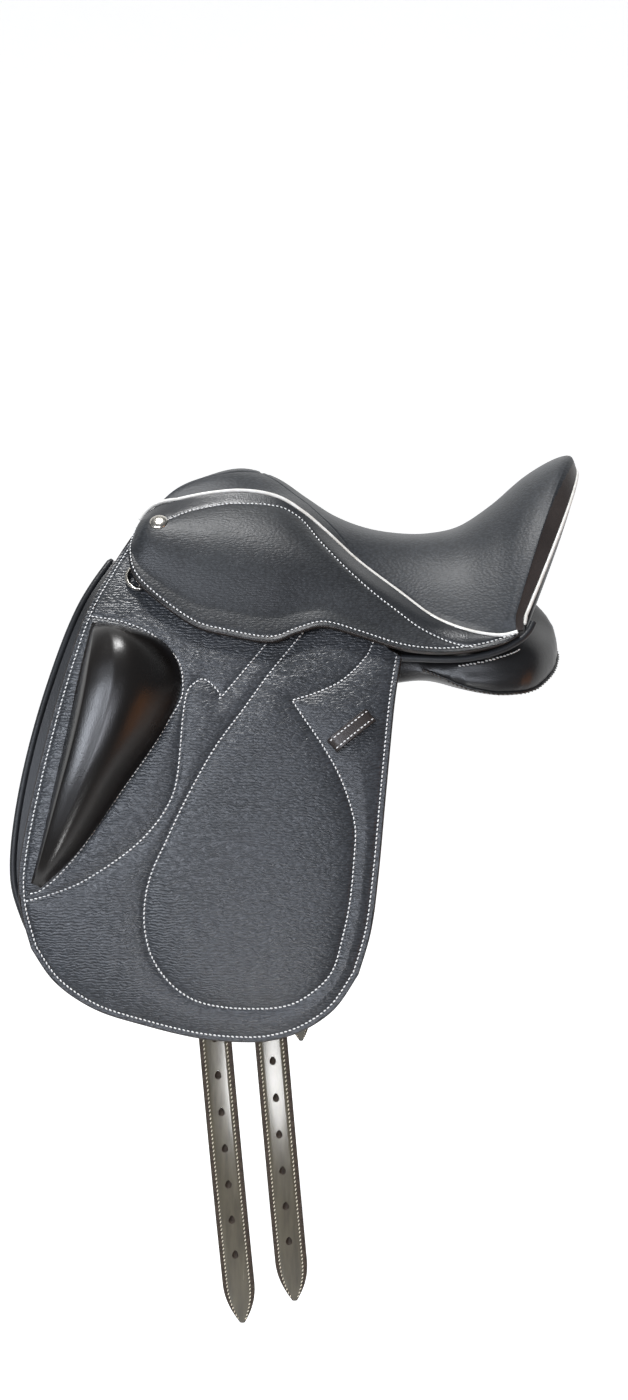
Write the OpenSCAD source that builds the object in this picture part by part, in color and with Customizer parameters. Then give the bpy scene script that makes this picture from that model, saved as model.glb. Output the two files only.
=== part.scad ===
// Dressage saddle, taken apart the way a saddler would on the bench.
// +X runs towards the cantle, +Y towards the off (right) side, +Z up, in millimetres.
// The origin is on the midline between the panels, level with their inner edges,
// where a rack carries the saddle.
// Each side is drawn once, on the off side, and mirrored for the near side.

/* [Size] */
// Seat size, from the saddle nail to the middle of the cantle
seat_size = 445; // [430:5:460]

/* [Flaps] */
// Thickness of a flap
flap_thick = 5; // [4:0.5:6]
// Thickness of a sweat flap
sweat_thick = 4; // [3:0.5:5]
// Room between a flap and the girth straps under it
strap_room = 4; // [3.5:0.25:5]
// Height of a knee block above the flap
block_height = 46; // [35:1:50]
// Height of the room under a keeper loop
keeper_room = 6.5; // [6:0.5:8]

/* [Skirts] */
// Thickness of a skirt
skirt_thick = 4.5; // [3.5:0.5:5]
// Bulge of a skirt over the stirrup bar
skirt_bulge = 15; // [14:0.5:18]
// Width of the cut where a flap or a skirt folds
fold_gap = 0.6; // [0.4:0.1:1]

/* [Seat] */
// Thickness of the seat leather
cover_thick = 2.5; // [2:0.5:3]
// Depth of the seat foam
foam_depth = 20; // [17:1:23]
// Thickness of the wooden tree
tree_thick = 10; // [8:1:11]
// Thickness of the straining webs
web_thick = 2; // [1.5:0.5:2.5]
// Radius of the piping
piping_r = 2.2; // [1.8:0.1:2.5]

/* [Girth straps] */
// Width of a girth strap
strap_width = 31; // [25:1:34]
// Thickness of a girth strap
strap_thick = 4.5; // [3.5:0.5:5]
// Radius of a buckle hole
hole_r = 3; // [2.5:0.25:3.5]
// Distance from hole to hole
hole_pitch = 36; // [30:1:38]
// Number of holes in a strap
hole_count = 7; // [5:1:8]

/* [Metal] */
// Radius of the dee's wire
dee_wire_r = 2.1; // [1.8:0.1:2.2]
// Radius of the dee's bow
dee_bow_r = 14; // [12:0.5:15]
// Room between a stirrup bar and its plate
bar_gap = 7; // [6:0.5:7.5]
// Thickness of a stirrup bar
bar_thick = 5; // [4.5:0.25:5.5]
// Length of a stirrup bar's plate
bar_length = 72; // [66:1:78]
// Diameter of a saddle nail's head
nail_d = 18; // [15:0.5:20]

/* [Hidden] */
$fn = 32;
deg = 180 / PI;
// Places along the horse are listed for this seat size, and drawn for the one that is set
listed_seat = 445;
fit = seat_size / listed_seat;
function fitted(p) = [fit * p[0], p[1], p[2]];
// Clearance between pieces that lie on each other
lie = 0.3;

// Curve helpers: a straight mix of two points, and a smooth curve through listed points
function mix(a, b, t) = a + (b - a) * t;
function along(p, u) =
    let (s = u * (len(p) - 1), n = len(p), i = max(0, min(floor(s), n - 2)), t = s - i,
         p0 = p[max(i - 1, 0)], p1 = p[i], p2 = p[i + 1], p3 = p[min(i + 2, n - 1)])
    0.5 * (2 * p1 + (p2 - p0) * t + (2 * p0 - 5 * p1 + 4 * p2 - p3) * t * t
           + (3 * p1 - p0 - 3 * p2 + p3) * t * t * t);
function unit(v) = v / norm(v);
function steps(n) = [for (i = [0:n]) i / n];
function span(a, b, n) = [for (s = steps(n)) mix(a, b, s)];

// Solids from grids of points: slab fills the room between two grids, tube joins closed rings
function flat(g) = [for (row = g) for (p = row) p];
module slab(a, b) {
    n = len(a);
    m = len(a[0]);
    k = n * m;
    function at(i, j) = i * m + j;
    faces = concat(
        [for (i = [0:n - 2], j = [0:m - 2]) each [
            [at(i, j), at(i + 1, j), at(i + 1, j + 1)],
            [at(i, j), at(i + 1, j + 1), at(i, j + 1)],
            [k + at(i, j), k + at(i + 1, j + 1), k + at(i + 1, j)],
            [k + at(i, j), k + at(i, j + 1), k + at(i + 1, j + 1)]]],
        [for (i = [0:n - 2]) each [
            [at(i, 0), k + at(i, 0), k + at(i + 1, 0)],
            [at(i, 0), k + at(i + 1, 0), at(i + 1, 0)],
            [at(i, m - 1), k + at(i + 1, m - 1), k + at(i, m - 1)],
            [at(i, m - 1), at(i + 1, m - 1), k + at(i + 1, m - 1)]]],
        [for (j = [0:m - 2]) each [
            [at(0, j), k + at(0, j + 1), k + at(0, j)],
            [at(0, j), at(0, j + 1), k + at(0, j + 1)],
            [at(n - 1, j), k + at(n - 1, j), k + at(n - 1, j + 1)],
            [at(n - 1, j), k + at(n - 1, j + 1), at(n - 1, j + 1)]]]);
    polyhedron(concat(flat(a), flat(b)), faces);
}
module tube(rings) {
    n = len(rings);
    m = len(rings[0]);
    function at(i, j) = i * m + j % m;
    function middle(r) = [for (c = [0:2]) [for (p = r) p[c]] * [for (p = r) 1 / m]];
    faces = concat(
        [for (i = [0:n - 2], j = [0:m - 1]) each [
            [at(i, j), at(i + 1, j), at(i + 1, j + 1)],
            [at(i, j), at(i + 1, j + 1), at(i, j + 1)]]],
        [for (j = [0:m - 1]) each [
            [n * m, at(0, j), at(0, j + 1)],
            [n * m + 1, at(n - 1, j + 1), at(n - 1, j)]]]);
    polyhedron(concat(flat(rings), [middle(rings[0]), middle(rings[n - 1])]), faces);
}
// A round cord of eight sides along a list of points
module cord(path, r) {
    n = len(path);
    tube([for (i = [0:n - 1])
        let (d = unit(path[min(i + 1, n - 1)] - path[max(i - 1, 0)]),
             a = unit(cross(d, [0, 0.3, 1])), b = cross(d, a))
        [for (j = [0:7]) path[i] + r * (cos(45 * j) * a + sin(45 * j) * b)]]);
}
// Puts a child drawn in its own axes at a point, with its x and z along given directions
module place(p, x, z) {
    y = cross(z, x);
    multmatrix([[x[0], y[0], z[0], p[0]], [x[1], y[1], z[1], p[1]], [x[2], y[2], z[2], p[2]], [0, 0, 0, 1]])
        children();
}
module near() {
    mirror([0, 1, 0]) children();
}

// Hanging leather: a profile of three arcs, bent only about X, so that a flat pattern (x along the horse,
// t down the leather) maps onto it at an offset from the middle of the flap
sheet_start = [58, 112, 44];
sheet_arcs = [[130, 25], [398, 8], [310, 0]];
function bend(from, arc, s) =
    let (k = (arc[1] - from[2]) / arc[0], a = from[2] + k * s)
    [from[0] + (cos(from[2]) - cos(a)) * deg / k, from[1] + (sin(from[2]) - sin(a)) * deg / k, a];
sheet_bend = bend(sheet_start, sheet_arcs[0], sheet_arcs[0][0]);
sheet_hem = bend(sheet_bend, sheet_arcs[1], sheet_arcs[1][0]);
hem_t = sheet_arcs[0][0] + sheet_arcs[1][0];
function profile(t) =
    t <= sheet_arcs[0][0] ? bend(sheet_start, sheet_arcs[0], t)
    : t <= hem_t ? bend(sheet_bend, sheet_arcs[1], t - sheet_arcs[0][0])
    : bend(sheet_hem, sheet_arcs[2], t - hem_t);
function sheet(p, off) = let (b = profile(p[1])) [fit * p[0], b[0] + off * cos(b[2]), b[1] + off * sin(b[2])];
function sheet_out(t) = let (a = profile(t)[2]) [0, cos(a), sin(a)];
function sheet_down(t) = let (a = profile(t)[2]) [0, sin(a), -cos(a)];
// Offsets of the layers under the flap: girth straps, the web they are sewn to, and the sweat flap
strap_off = -flap_thick / 2 - strap_room - strap_thick / 2;
web_off = strap_off - strap_thick / 2 - lie - web_thick / 2;
sweat_off = web_off - web_thick / 2 - lie - sweat_thick / 2;
// A leather between a front and a rear edge of the pattern
module leather(front, rear, rows, cols, off, thick) {
    outline = [for (r = steps(rows)) [for (c = steps(cols)) mix(along(front, r), along(rear, r), c)]];
    slab([for (row = outline) [for (p = row) sheet(p, off + thick / 2)]],
         [for (row = outline) [for (p = row) sheet(p, off - thick / 2)]]);
}

// Flap: it folds on a straight line just under the skirt's lower edge, and its top stays nailed to the tree
fold_front = [-225, 111];
fold_rear = [86, 170];
flap_front = [fold_front, [-244, 181], [-262, 262], [-277, 346], [-274, 412], [-244, 468], [-188, 501],
              [-110, 521]];
flap_rear = [fold_rear, [77, 212], [69, 290], [61, 370], [50, 440], [20, 493], [-24, 518], [-76, 525]];
flap_head = [[-186, 24], [-150, 8], [-60, 8], [0, 48], [46, 124], [86, 158]];
flap_axis = [sheet(fold_front, flap_thick / 2 + 1), sheet(fold_rear, flap_thick / 2 + 1)];
module flap() {
    color("#2b2d31") leather(flap_front, flap_rear, 28, 3, 0, flap_thick);
}
module flap_top() {
    low = [for (c = steps(12)) mix(fold_front, fold_rear, c) - [0, fold_gap]];
    high = [for (c = steps(12)) along(flap_head, c)];
    grid = [for (r = steps(4)) [for (c = [0:12]) mix(high[c], low[c], r)]];
    color("#2b2d31")
        slab([for (row = grid) [for (p = row) sheet(p, flap_thick / 2)]],
             [for (row = grid) [for (p = row) sheet(p, -flap_thick / 2)]]);
}

// Sweat flap: the inner leather between the girth straps and the horse, showing ahead of the flap
sweat_front = [[-209, 42], [-238, 104], [-266, 200], [-284, 290], [-290, 362], [-272, 424], [-220, 466],
               [-140, 484]];
sweat_rear = [[66, 150], [62, 200], [56, 270], [48, 340], [36, 400], [8, 444], [-44, 472], [-110, 486]];
module sweat_flap() {
    color("#232427") leather(sweat_front, sweat_rear, 20, 3, sweat_off, sweat_thick);
}

// Knee block: a long wedge sewn on the flap, steep towards the shoulder and sloping back under the rider's leg
block_front = [[-216, 124], [-228, 186], [-241, 254], [-254, 322], [-265, 376]];
block_rear = [[-204, 124], [-150, 142], [-129, 180], [-142, 226], [-180, 285], [-221, 345], [-257, 380]];
block_along = [0, 0.6, 0.92, 1, 0.97, 0.89, 0.78, 0.64, 0.48, 0.28, 0];
block_ridge = 0.3;
block_hem = 2;
function block_across(c) =
    c < block_ridge ? pow(sin(90 * c / block_ridge), 0.7)
    : pow(cos(90 * (c - block_ridge) / (1 - block_ridge)), 0.9);
module knee_block() {
    base = flap_thick / 2 + lie;
    grid = [for (r = steps(14)) [for (c = steps(10))
        [mix(along(block_front, r), along(block_rear, r), c),
         block_hem + (block_height - block_hem) * along(block_along, r) * max(block_across(c), 0)]]];
    color("#1d1c1c")
        slab([for (row = grid) [for (q = row) sheet(q[0], base + q[1])]],
             [for (row = grid) [for (q = row) sheet(q[0], base)]]);
}

// Keeper: a leather loop on the flap for the end of the stirrup leather
keeper_at = [36, 232];
keeper_length = 48;
keeper_width = 15;
keeper_thick = 3;
keeper_foot = 7;
keeper_turn = 39;
module keeper() {
    out = sheet_out(keeper_at[1]);
    run = cos(keeper_turn) * [1, 0, 0] - sin(keeper_turn) * sheet_down(keeper_at[1]);
    half = keeper_length / 2;
    arch = half - keeper_foot;
    top = keeper_room + keeper_thick;
    color("#2a2826")
        place(sheet(keeper_at, flap_thick / 2 + lie), run, out)
            rotate([90, 0, 0]) linear_extrude(keeper_width, center = true)
                polygon([[-half, 0], [-arch, 0], [-arch + 3, keeper_room], [arch - 3, keeper_room], [arch, 0],
                         [half, 0], [half, keeper_thick], [arch + 1, top], [-arch - 1, top],
                         [-half, keeper_thick]]);
}

// Skirt: top edge along the seat's seam, lower edge over the flap, and each section's share of the bulge
skirt_top_edge = [[-178, 74, 107], [-168, 71, 119], [-150, 67, 129], [-110, 62, 138], [-72, 60, 141],
                  [-38, 62, 135], [-12, 66, 120], [12, 71, 100], [45, 81, 70], [83, 98, 42], [118, 118, 17],
                  [150, 135, 5], [180, 145, 1], [198, 148, 5]];
skirt_low_edge = [[-181, 81, 101], [-184, 109, 77], [-171, 125, 49], [-121, 138, 12], [-84, 142, 1],
                  [-42, 145, -5], [-16, 141, 3], [10, 139, 9], [45, 143, 0], [84, 148, -12], [118, 151, -16],
                  [150, 153, -14], [182, 152, -7], [199, 150, 2]];
skirt_share = [0.02, 0.35, 0.8, 1, 1, 1, 1, 0.9, 0.75, 0.45, 0.2, 0.08, 0.03, 0.01];
skirt_axis = [fitted([-186, 112, 80]), fitted([86, 153, -9])];
seam_room = piping_r + 1.1;
function skirt(u, v, off) =
    let (top = along(skirt_top_edge, u), low = along(skirt_low_edge, u),
         d = unit([0, low[1] - top[1], low[2] - top[2]]),
         swell = skirt_bulge * along(skirt_share, u) * pow(sin(180 * min(v / 0.85, 1)), 1.3))
    fitted(mix(top, low, v) + [0, -d[2], d[1]] * (swell + off));
function skirt_start(u) = seam_room / norm(along(skirt_low_edge, u) - along(skirt_top_edge, u));
module skirt_sheet() {
    us = steps(30);
    vs = steps(7);
    slab([for (v = vs) [for (u = us) skirt(u, mix(skirt_start(u), 1, v), skirt_thick / 2)]],
         [for (v = vs) [for (u = us) skirt(u, mix(skirt_start(u), 1, v), -skirt_thick / 2)]]);
}
module below_fold(drop) {
    a = skirt_axis[0];
    b = skirt_axis[1];
    reach = 60;
    depth = 200;
    rise = reach * (a[2] - b[2]) / (b[0] - a[0]);
    translate([0, depth, -drop]) rotate([90, 0, 0]) linear_extrude(depth)
        polygon([[a[0] - reach, a[2] + rise], [b[0], b[2]], [b[0], -depth], [a[0] - reach, -depth]]);
}
module skirt_top() {
    color("#2b2d31") difference() {
        skirt_sheet();
        below_fold(0);
        at_nail() cylinder(r = nail_shank_r + 0.1, h = 30, center = true);
    }
}
module skirt_fold() {
    color("#2b2d31") intersection() {
        skirt_sheet();
        below_fold(fold_gap);
    }
}

// Saddle nail: a domed head on a shank through the front corner of the skirt
nail_uv = [0.16, 0.35];
nail_shank_r = 2;
nail_dome = 3.2;
nail_out = unit(cross(skirt(nail_uv[0] + 0.03, nail_uv[1], 0) - skirt(nail_uv[0] - 0.03, nail_uv[1], 0),
                      skirt(nail_uv[0], nail_uv[1] + 0.05, 0) - skirt(nail_uv[0], nail_uv[1] - 0.05, 0)));
module at_nail() {
    place(skirt(nail_uv[0], nail_uv[1], skirt_thick / 2), unit(cross([0, 0, 1], nail_out)), nail_out)
        children();
}
module saddle_nail() {
    r = nail_d / 2;
    color("silver") at_nail() {
        translate([0, 0, 0.8])
            rotate_extrude()
                polygon(concat([[0, 0], [r, 0]],
                               [for (a = [90:-15:0]) [r * sin(a), 0.8 + nail_dome * cos(a)]]));
        translate([0, 0, -skirt_thick - 2]) cylinder(r = nail_shank_r, h = skirt_thick + 3);
    }
}

// Seat: cross sections from pommel to cantle, as
// [centre x, centre z, edge x, half width, edge z, power of x, power of z]
seat_sections = [
    [-117, 149, -176, 71, 110, 1.6, 1.9],
    [-104, 161, -160, 65, 124, 1.6, 2],
    [-74, 166, -118, 59, 136, 1.8, 2.2],
    [-40, 156, -72, 56, 140, 2, 2.2],
    [-8, 135, -30, 59, 132, 2, 2],
    [22, 116, 6, 66, 107, 2, 2.2],
    [56, 103, 45, 77, 71, 2, 2.4],
    [92, 97, 85, 94, 42, 2, 2.5],
    [126, 97, 120, 114, 17, 2, 2.5],
    [160, 105, 150, 130, 5, 2, 2.4],
    [195, 128, 172, 139, 2, 2, 2.3],
    [230, 158, 183, 142, 5, 1.6, 2.1],
    [260, 176, 188, 143, 9, 1.4, 2],
    [276, 179, 193, 143.5, 11, 1.4, 2],
    [281, 167, 200, 143, 10, 1.9, 2]];
function seat(u, v) =
    let (s = along(seat_sections, u), a = abs(v))
    fitted([mix(s[0], s[2], pow(a, s[5])), sign(v) * s[3] * a, mix(s[1], s[4], pow(a, s[6]))]);
function seat_up(u, v) =
    let (h = 0.01, c = min(max(v, -0.98), 0.98), d = min(max(u, h), 1 - h))
    unit(cross(seat(d + h, c) - seat(d - h, c), seat(d, c + h) - seat(d, c - h)));
function under(u, v, depth) = seat(u, v) - seat_up(u, v) * depth;
function tree_depth(u) = cover_thick + foam_depth * min(1, 0.6 + 1.3 * u);
// One grid of 24 by 12 cells serves all the layers, so that they lie parallel
function seat_u(i) = i / 24;
function seat_v(j) = 0.975 * j / 6;
module layer(i0, i1, j0, j1, high, low) {
    slab([for (i = [i0:i1]) [for (j = [j0:j1]) under(seat_u(i), seat_v(j), high(seat_u(i)))]],
         [for (i = [i0:i1]) [for (j = [j0:j1]) under(seat_u(i), seat_v(j), low(seat_u(i)))]]);
}
module seat_cover() {
    color("#2b2d31") layer(0, 24, -6, 6, function(u) 0, function(u) cover_thick);
}
module seat_foam() {
    color("#d8cfae")
        layer(2, 22, -5, 5, function(u) cover_thick + lie, function(u) tree_depth(u) - web_thick - 2 * lie);
}

// Tree: head, two rails and cantle under the foam, with webs strained on top and springs below
module tree_layer(i0, i1, j0, j1, up, down) {
    layer(i0, i1, j0, j1, function(u) tree_depth(u) - up, function(u) tree_depth(u) + down);
}
module tree_head() {
    color("#b98a55") tree_layer(2, 5, -5, 5, 0, tree_thick);
}
module tree_rail() {
    color("#c59660") tree_layer(5, 17, 3, 5, 0, tree_thick);
}
module tree_cantle() {
    color("#b98a55") tree_layer(17, 21, -5, 5, 0, tree_thick);
}
module straining_webs() {
    for (j = [-3, 1]) color("#8c8574") tree_layer(2, 20, j, j + 2, web_thick + lie, -lie);
}
spring_thick = 1.5;
module spring_strip() {
    color("#6f7479") tree_layer(4, 20, 3, 4, -tree_thick - lie, tree_thick + lie + spring_thick);
}
module spring_strips() {
    spring_strip();
    near() spring_strip();
}
plate_thick = 3;
module gullet_plate() {
    color("#7a7f85") tree_layer(2, 3, -5, 5, -tree_thick - lie, tree_thick + lie + plate_thick);
}

// Piping, and the leather facing at the back of the cantle
module skirt_piping() {
    color("#e8e6e0") cord([for (u = steps(36)) fitted(along(skirt_top_edge, u) - [0, 1.6, 0])], piping_r);
}
module cantle_piping() {
    color("#e8e6e0") cord([for (v = span(-0.965, 0.965, 30)) seat(1, v) + [1.8, 0, -2.7]], piping_r);
}
facing_thick = 2.5;
facing_drop = [-1, 0, -24];
module pommel_facing() {
    function skin(j, r, back) = under(0, seat_v(j), cover_thick + lie) + facing_drop * r + [back, 0, 0];
    color("#26272a")
        slab([for (r = steps(3)) [for (j = [-5:5]) skin(j, r, facing_thick)]],
             [for (r = steps(3)) [for (j = [-5:5]) skin(j, r, 0)]]);
}
// Foot of the facing, at the middle and at its ends: x and z, and its half width
facing_foot = [[238, 44], [203, -4]];
facing_half = 147;
function facing(v, r, off) =
    let (a = abs(v), top = seat(1, v) + [1, 0, -8], mid = facing_foot[0], end = facing_foot[1],
         low = fitted([mix(mid[0], end[0], pow(a, 1.9)), facing_half * v, mix(mid[1], end[1], pow(a, 2))]),
         out = unit([1.2 - a, sign(v) * a, -0.15]))
    mix(top, low, r) + out * (4 * sin(180 * r) * (1 - 0.7 * a) + off);
module cantle_facing() {
    rs = steps(4);
    vs = span(-0.965, 0.965, 24);
    color("#26272a")
        slab([for (r = rs) [for (v = vs) facing(v, r, 0)]],
             [for (r = rs) [for (v = vs) facing(v, r, -facing_thick)]]);
}
rear_roll_path = [[98, 143, -20], [122, 147, -22], [150, 149, -20.5], [178, 149, -14], [198, 147, -4.5]];
rear_roll_r = 3.4;
module rear_roll() {
    color("#26272a") cord([for (u = steps(16)) fitted(along(rear_roll_path, u))], rear_roll_r);
}

// Panel: the stuffed cushion that lies beside the spine, as sections of
// [x, six points (half width, z) around it]
panel_sections = [
    [-196, [[52, 76], [70, 62], [88, 30], [95, 6], [80, 12], [56, 52]]],
    [-150, [[36, 92], [64, 80], [98, 24], [113, -18], [84, -8], [44, 58]]],
    [-60, [[34, 86], [62, 74], [103, 20], [124, -38], [90, -28], [40, 42]]],
    [20, [[33, 68], [60, 52], [107, 10], [128, -50], [92, -42], [38, 22]]],
    [76, [[33, 52], [62, 31], [110, -6], [131, -50], [94, -50], [38, 2]]],
    [112, [[33, 42], [76, 14], [126, -30], [131, -46], [95, -52], [38, -8]]],
    [150, [[33, 44], [80, 14], [140, -32], [144, -54], [97, -56], [38, -14]]],
    [186, [[33, 46], [82, 20], [142, -24], [146, -58], [98, -57], [38, -16]]],
    [218, [[33, 40], [80, 18], [133, -16], [138, -54], [95, -54], [38, -14]]],
    [244, [[36, 20], [68, 8], [102, -14], [108, -42], [80, -42], [40, -10]]],
    [256, [[46, 2], [62, -2], [77, -14], [80, -30], [64, -31], [48, -14]]]];
function ring(p, s) =
    let (n = len(p), i = floor(s) % n, t = s - floor(s), p0 = p[(i + n - 1) % n], p1 = p[i],
         p2 = p[(i + 1) % n], p3 = p[(i + 2) % n])
    0.5 * (2 * p1 + (p2 - p0) * t + (2 * p0 - 5 * p1 + 4 * p2 - p3) * t * t
           + (3 * p1 - p0 - 3 * p2 + p3) * t * t * t);
module panel() {
    xs = [for (s = panel_sections) s[0]];
    rings = [for (s = panel_sections) s[1]];
    color("#303236")
        tube([for (u = steps(20))
            let (x = along(xs, u), r = along(rings, u))
            [for (j = [0:17]) let (q = ring(r, (17 - j) / 3)) fitted([x, q[0], q[1]])]]);
}

// Girth straps: two a side, sewn to a web under the flap. The head of each lies behind the flap, and its tail,
// with the buckle holes, hangs below the hem
strap_top_t = 90;
strap_join_t = 505;
strap_hem_t = 524;
strap_lean = 0.084;
strap_hem_x = [-94, -41];
strap_tip_t = [813, 789];
strap_last_hole = [73, 63];
strap_point = 42;
function strap_x(i, t) = strap_hem_x[i] + strap_lean * (t - strap_hem_t);
function strap_half(i, t) =
    let (h = strap_width / 2, a = strap_top_t + h - t, b = (t - strap_tip_t[i] + strap_point) / strap_point)
    a > 0 ? max(sqrt(max(h * h - a * a, 0)), 2)
    : b > 0 ? mix(2, h, sqrt(max(1 - b * b, 0)) * (1 - 0.35 * b)) : h;
function strap_head_rows(i) =
    let (h = strap_width / 2, a = strap_top_t)
    concat([for (s = steps(6)) a + h * (1 - cos(90 * s))], span(a + h + 20, strap_join_t - lie, 18));
function strap_tail_rows(i) =
    let (z = strap_tip_t[i])
    concat(span(strap_join_t, z - strap_point, 12),
           [for (s = [0.15, 0.35, 0.55, 0.75, 0.9, 1]) z - strap_point * (1 - s)]);
function hole_t(i, k) = strap_tip_t[i] - strap_last_hole[i] - k * hole_pitch;
function strap_at(i, t, s, off) = sheet([strap_x(i, t) + s * strap_half(i, t) / fit, t], strap_off + off);
module strap_leather(i, rows) {
    slab([for (t = rows) [for (s = [-1, 0, 1]) strap_at(i, t, s, strap_thick / 2)]],
         [for (t = rows) [for (s = [-1, 0, 1]) strap_at(i, t, s, -strap_thick / 2)]]);
}
module strap_head(i) {
    color("#6f6a5e") strap_leather(i, strap_head_rows(i));
}
module strap_tail(i) {
    color("#6f6a5e") difference() {
        strap_leather(i, strap_tail_rows(i));
        for (k = [0:hole_count - 1])
            place(strap_at(i, hole_t(i, k), 0, 0), [1, 0, 0], sheet_out(hole_t(i, k)))
                cylinder(r = hole_r, h = 4 * strap_thick, center = true);
    }
}
module girth_web() {
    color("#8c8574") leather([[-122, -21], [-152, 126]], [[-92, -21], [-56, 126]], 8, 3, web_off, web_thick);
}

// Dee and its leather chape on the flap's top, ahead of the skirt
dee_at = [-172, 76];
chape_thick = 1.6;
chape_room = 0.25;
chape_r = dee_wire_r + chape_room + chape_thick;
module at_dee() {
    place(sheet(dee_at, flap_thick / 2 + lie), [1, 0, 0], sheet_out(dee_at[1])) children();
}
module dee() {
    color("silver") at_dee() translate([0, 0, chape_r]) {
        rotate([90, 0, 0]) cylinder(r = dee_wire_r, h = 2 * dee_bow_r, center = true);
        rotate([0, 0, 90]) rotate_extrude(angle = 180) translate([dee_bow_r, 0]) circle(dee_wire_r);
    }
}
module dee_chape() {
    color("#26272a") at_dee() rotate([90, 0, 0]) linear_extrude(2 * dee_bow_r - 12, center = true)
        difference() {
            union() {
                translate([0, chape_r]) circle(chape_r);
                square([26, chape_thick]);
            }
            translate([0, chape_r]) circle(dee_wire_r + chape_room);
        }
}

// Stirrup bar with a hinged catch at its open rear end, riveted to the flap's top over the tree
bar_at = [-148, 46];
bar_plate = [bar_length, 22, 2.5];
bar_width = 11;
bar_post = 12;
bar_z = bar_plate[2] + bar_gap;
catch_thick = 1.8;
catch_length = 18;
pin_r = 1.4;
pin_x = bar_length - 6;
rivet_r = 2;
rivet_places = [[20, -8], [20, 8], [bar_length - 14, -8], [bar_length - 14, 8]];
module at_bar() {
    place(sheet(bar_at, flap_thick / 2 + lie), [1, 0, 0], sheet_out(bar_at[1])) children();
}
module stirrup_bar() {
    color("#8f9499") at_bar() difference() {
        union() {
            translate([0, -bar_plate[1] / 2, 0]) cube(bar_plate);
            translate([0, -bar_width / 2, 0]) cube([bar_post, bar_width, bar_z + bar_thick]);
            translate([0, -bar_width / 2, bar_z]) cube([pin_x, bar_width, bar_thick]);
            translate([pin_x, 0, bar_z]) cylinder(d = bar_width, h = bar_thick);
        }
        translate([pin_x - bar_width / 2 - 1, -bar_width, bar_z + (bar_thick - catch_thick) / 2 - 0.25])
            cube([bar_width + 4, 2 * bar_width, catch_thick + 0.5]);
        translate([pin_x, 0, bar_z - 1]) cylinder(r = pin_r, h = bar_thick + 2);
        for (p = rivet_places) translate([p[0], p[1], -1]) cylinder(r = rivet_r + 0.1, h = bar_plate[2] + 2);
    }
}
module bar_rivets() {
    color("#a5a9ad") at_bar() for (p = rivet_places) translate([p[0], p[1], 0]) {
        cylinder(r = rivet_r, h = bar_plate[2] + 0.5);
        translate([0, 0, bar_plate[2] + 0.2]) cylinder(r1 = rivet_r + 0.7, r2 = rivet_r - 0.5, h = 1.2);
    }
}
module bar_catch() {
    z = bar_z + (bar_thick - catch_thick) / 2;
    color("#a5a9ad") at_bar() difference() {
        union() {
            translate([pin_x, 0, z]) cylinder(d = bar_width - 1, h = catch_thick);
            translate([pin_x, -bar_width / 2 + 0.5, z]) cube([catch_length, bar_width - 1, catch_thick]);
            translate([pin_x + bar_width / 2 + 0.8, -bar_width / 2 + 0.5, bar_z])
                cube([catch_length - bar_width / 2 - 0.8, bar_width - 1, bar_thick]);
        }
        translate([pin_x, 0, z - 1]) cylinder(r = pin_r + 0.15, h = catch_thick + 2);
    }
}
module catch_pin() {
    color("#c9ccd0") at_bar() translate([pin_x, 0, bar_z]) cylinder(r = pin_r, h = bar_thick);
}

tree_head();
near() tree_rail();  // tree_rail_left
tree_rail();  // tree_rail_right
tree_cantle();
gullet_plate();
spring_strips();
straining_webs();
seat_foam();
seat_cover();
pommel_facing();
cantle_facing();
cantle_piping();
near() skirt_piping();  // skirt_piping_left
skirt_piping();  // skirt_piping_right
near() rear_roll();  // rear_roll_left
rear_roll();  // rear_roll_right
near() skirt_top();  // skirt_top_left
skirt_top();  // skirt_top_right
near() skirt_fold();  // skirt_left
skirt_fold();  // skirt_right
near() saddle_nail();  // saddle_nail_left
saddle_nail();  // saddle_nail_right
near() flap_top();  // flap_top_left
flap_top();  // flap_top_right
near() flap();  // flap_left
flap();  // flap_right
near() knee_block();  // knee_block_left
knee_block();  // knee_block_right
near() keeper();  // keeper_left
keeper();  // keeper_right
near() sweat_flap();  // sweat_flap_left
sweat_flap();  // sweat_flap_right
near() panel();  // panel_left
panel();  // panel_right
near() girth_web();  // girth_web_left
girth_web();  // girth_web_right
near() strap_head(0);  // strap_head_front_left
strap_head(0);  // strap_head_front_right
near() strap_head(1);  // strap_head_rear_left
strap_head(1);  // strap_head_rear_right
near() strap_tail(0);  // strap_front_left
strap_tail(0);  // strap_front_right
near() strap_tail(1);  // strap_rear_left
strap_tail(1);  // strap_rear_right
near() dee();  // dee_left
dee();  // dee_right
near() dee_chape();  // dee_chape_left
dee_chape();  // dee_chape_right
near() stirrup_bar();  // stirrup_bar_left
stirrup_bar();  // stirrup_bar_right
near() bar_rivets();  // bar_rivets_left
bar_rivets();  // bar_rivets_right
near() bar_catch();  // bar_catch_left
bar_catch();  // bar_catch_right
near() catch_pin();  // catch_pin_left
catch_pin();  // catch_pin_right
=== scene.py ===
"""Dressage saddle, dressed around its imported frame.

Pieces follow the order in which a saddler puts the saddle together. The near side is -Y, the cantle is at +X,
and sizes in the sections are millimetres, turned to metres where a mesh is made.
"""
import math

import bmesh
import bpy
import numpy as np
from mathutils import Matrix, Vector
from mathutils.bvhtree import BVHTree


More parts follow.
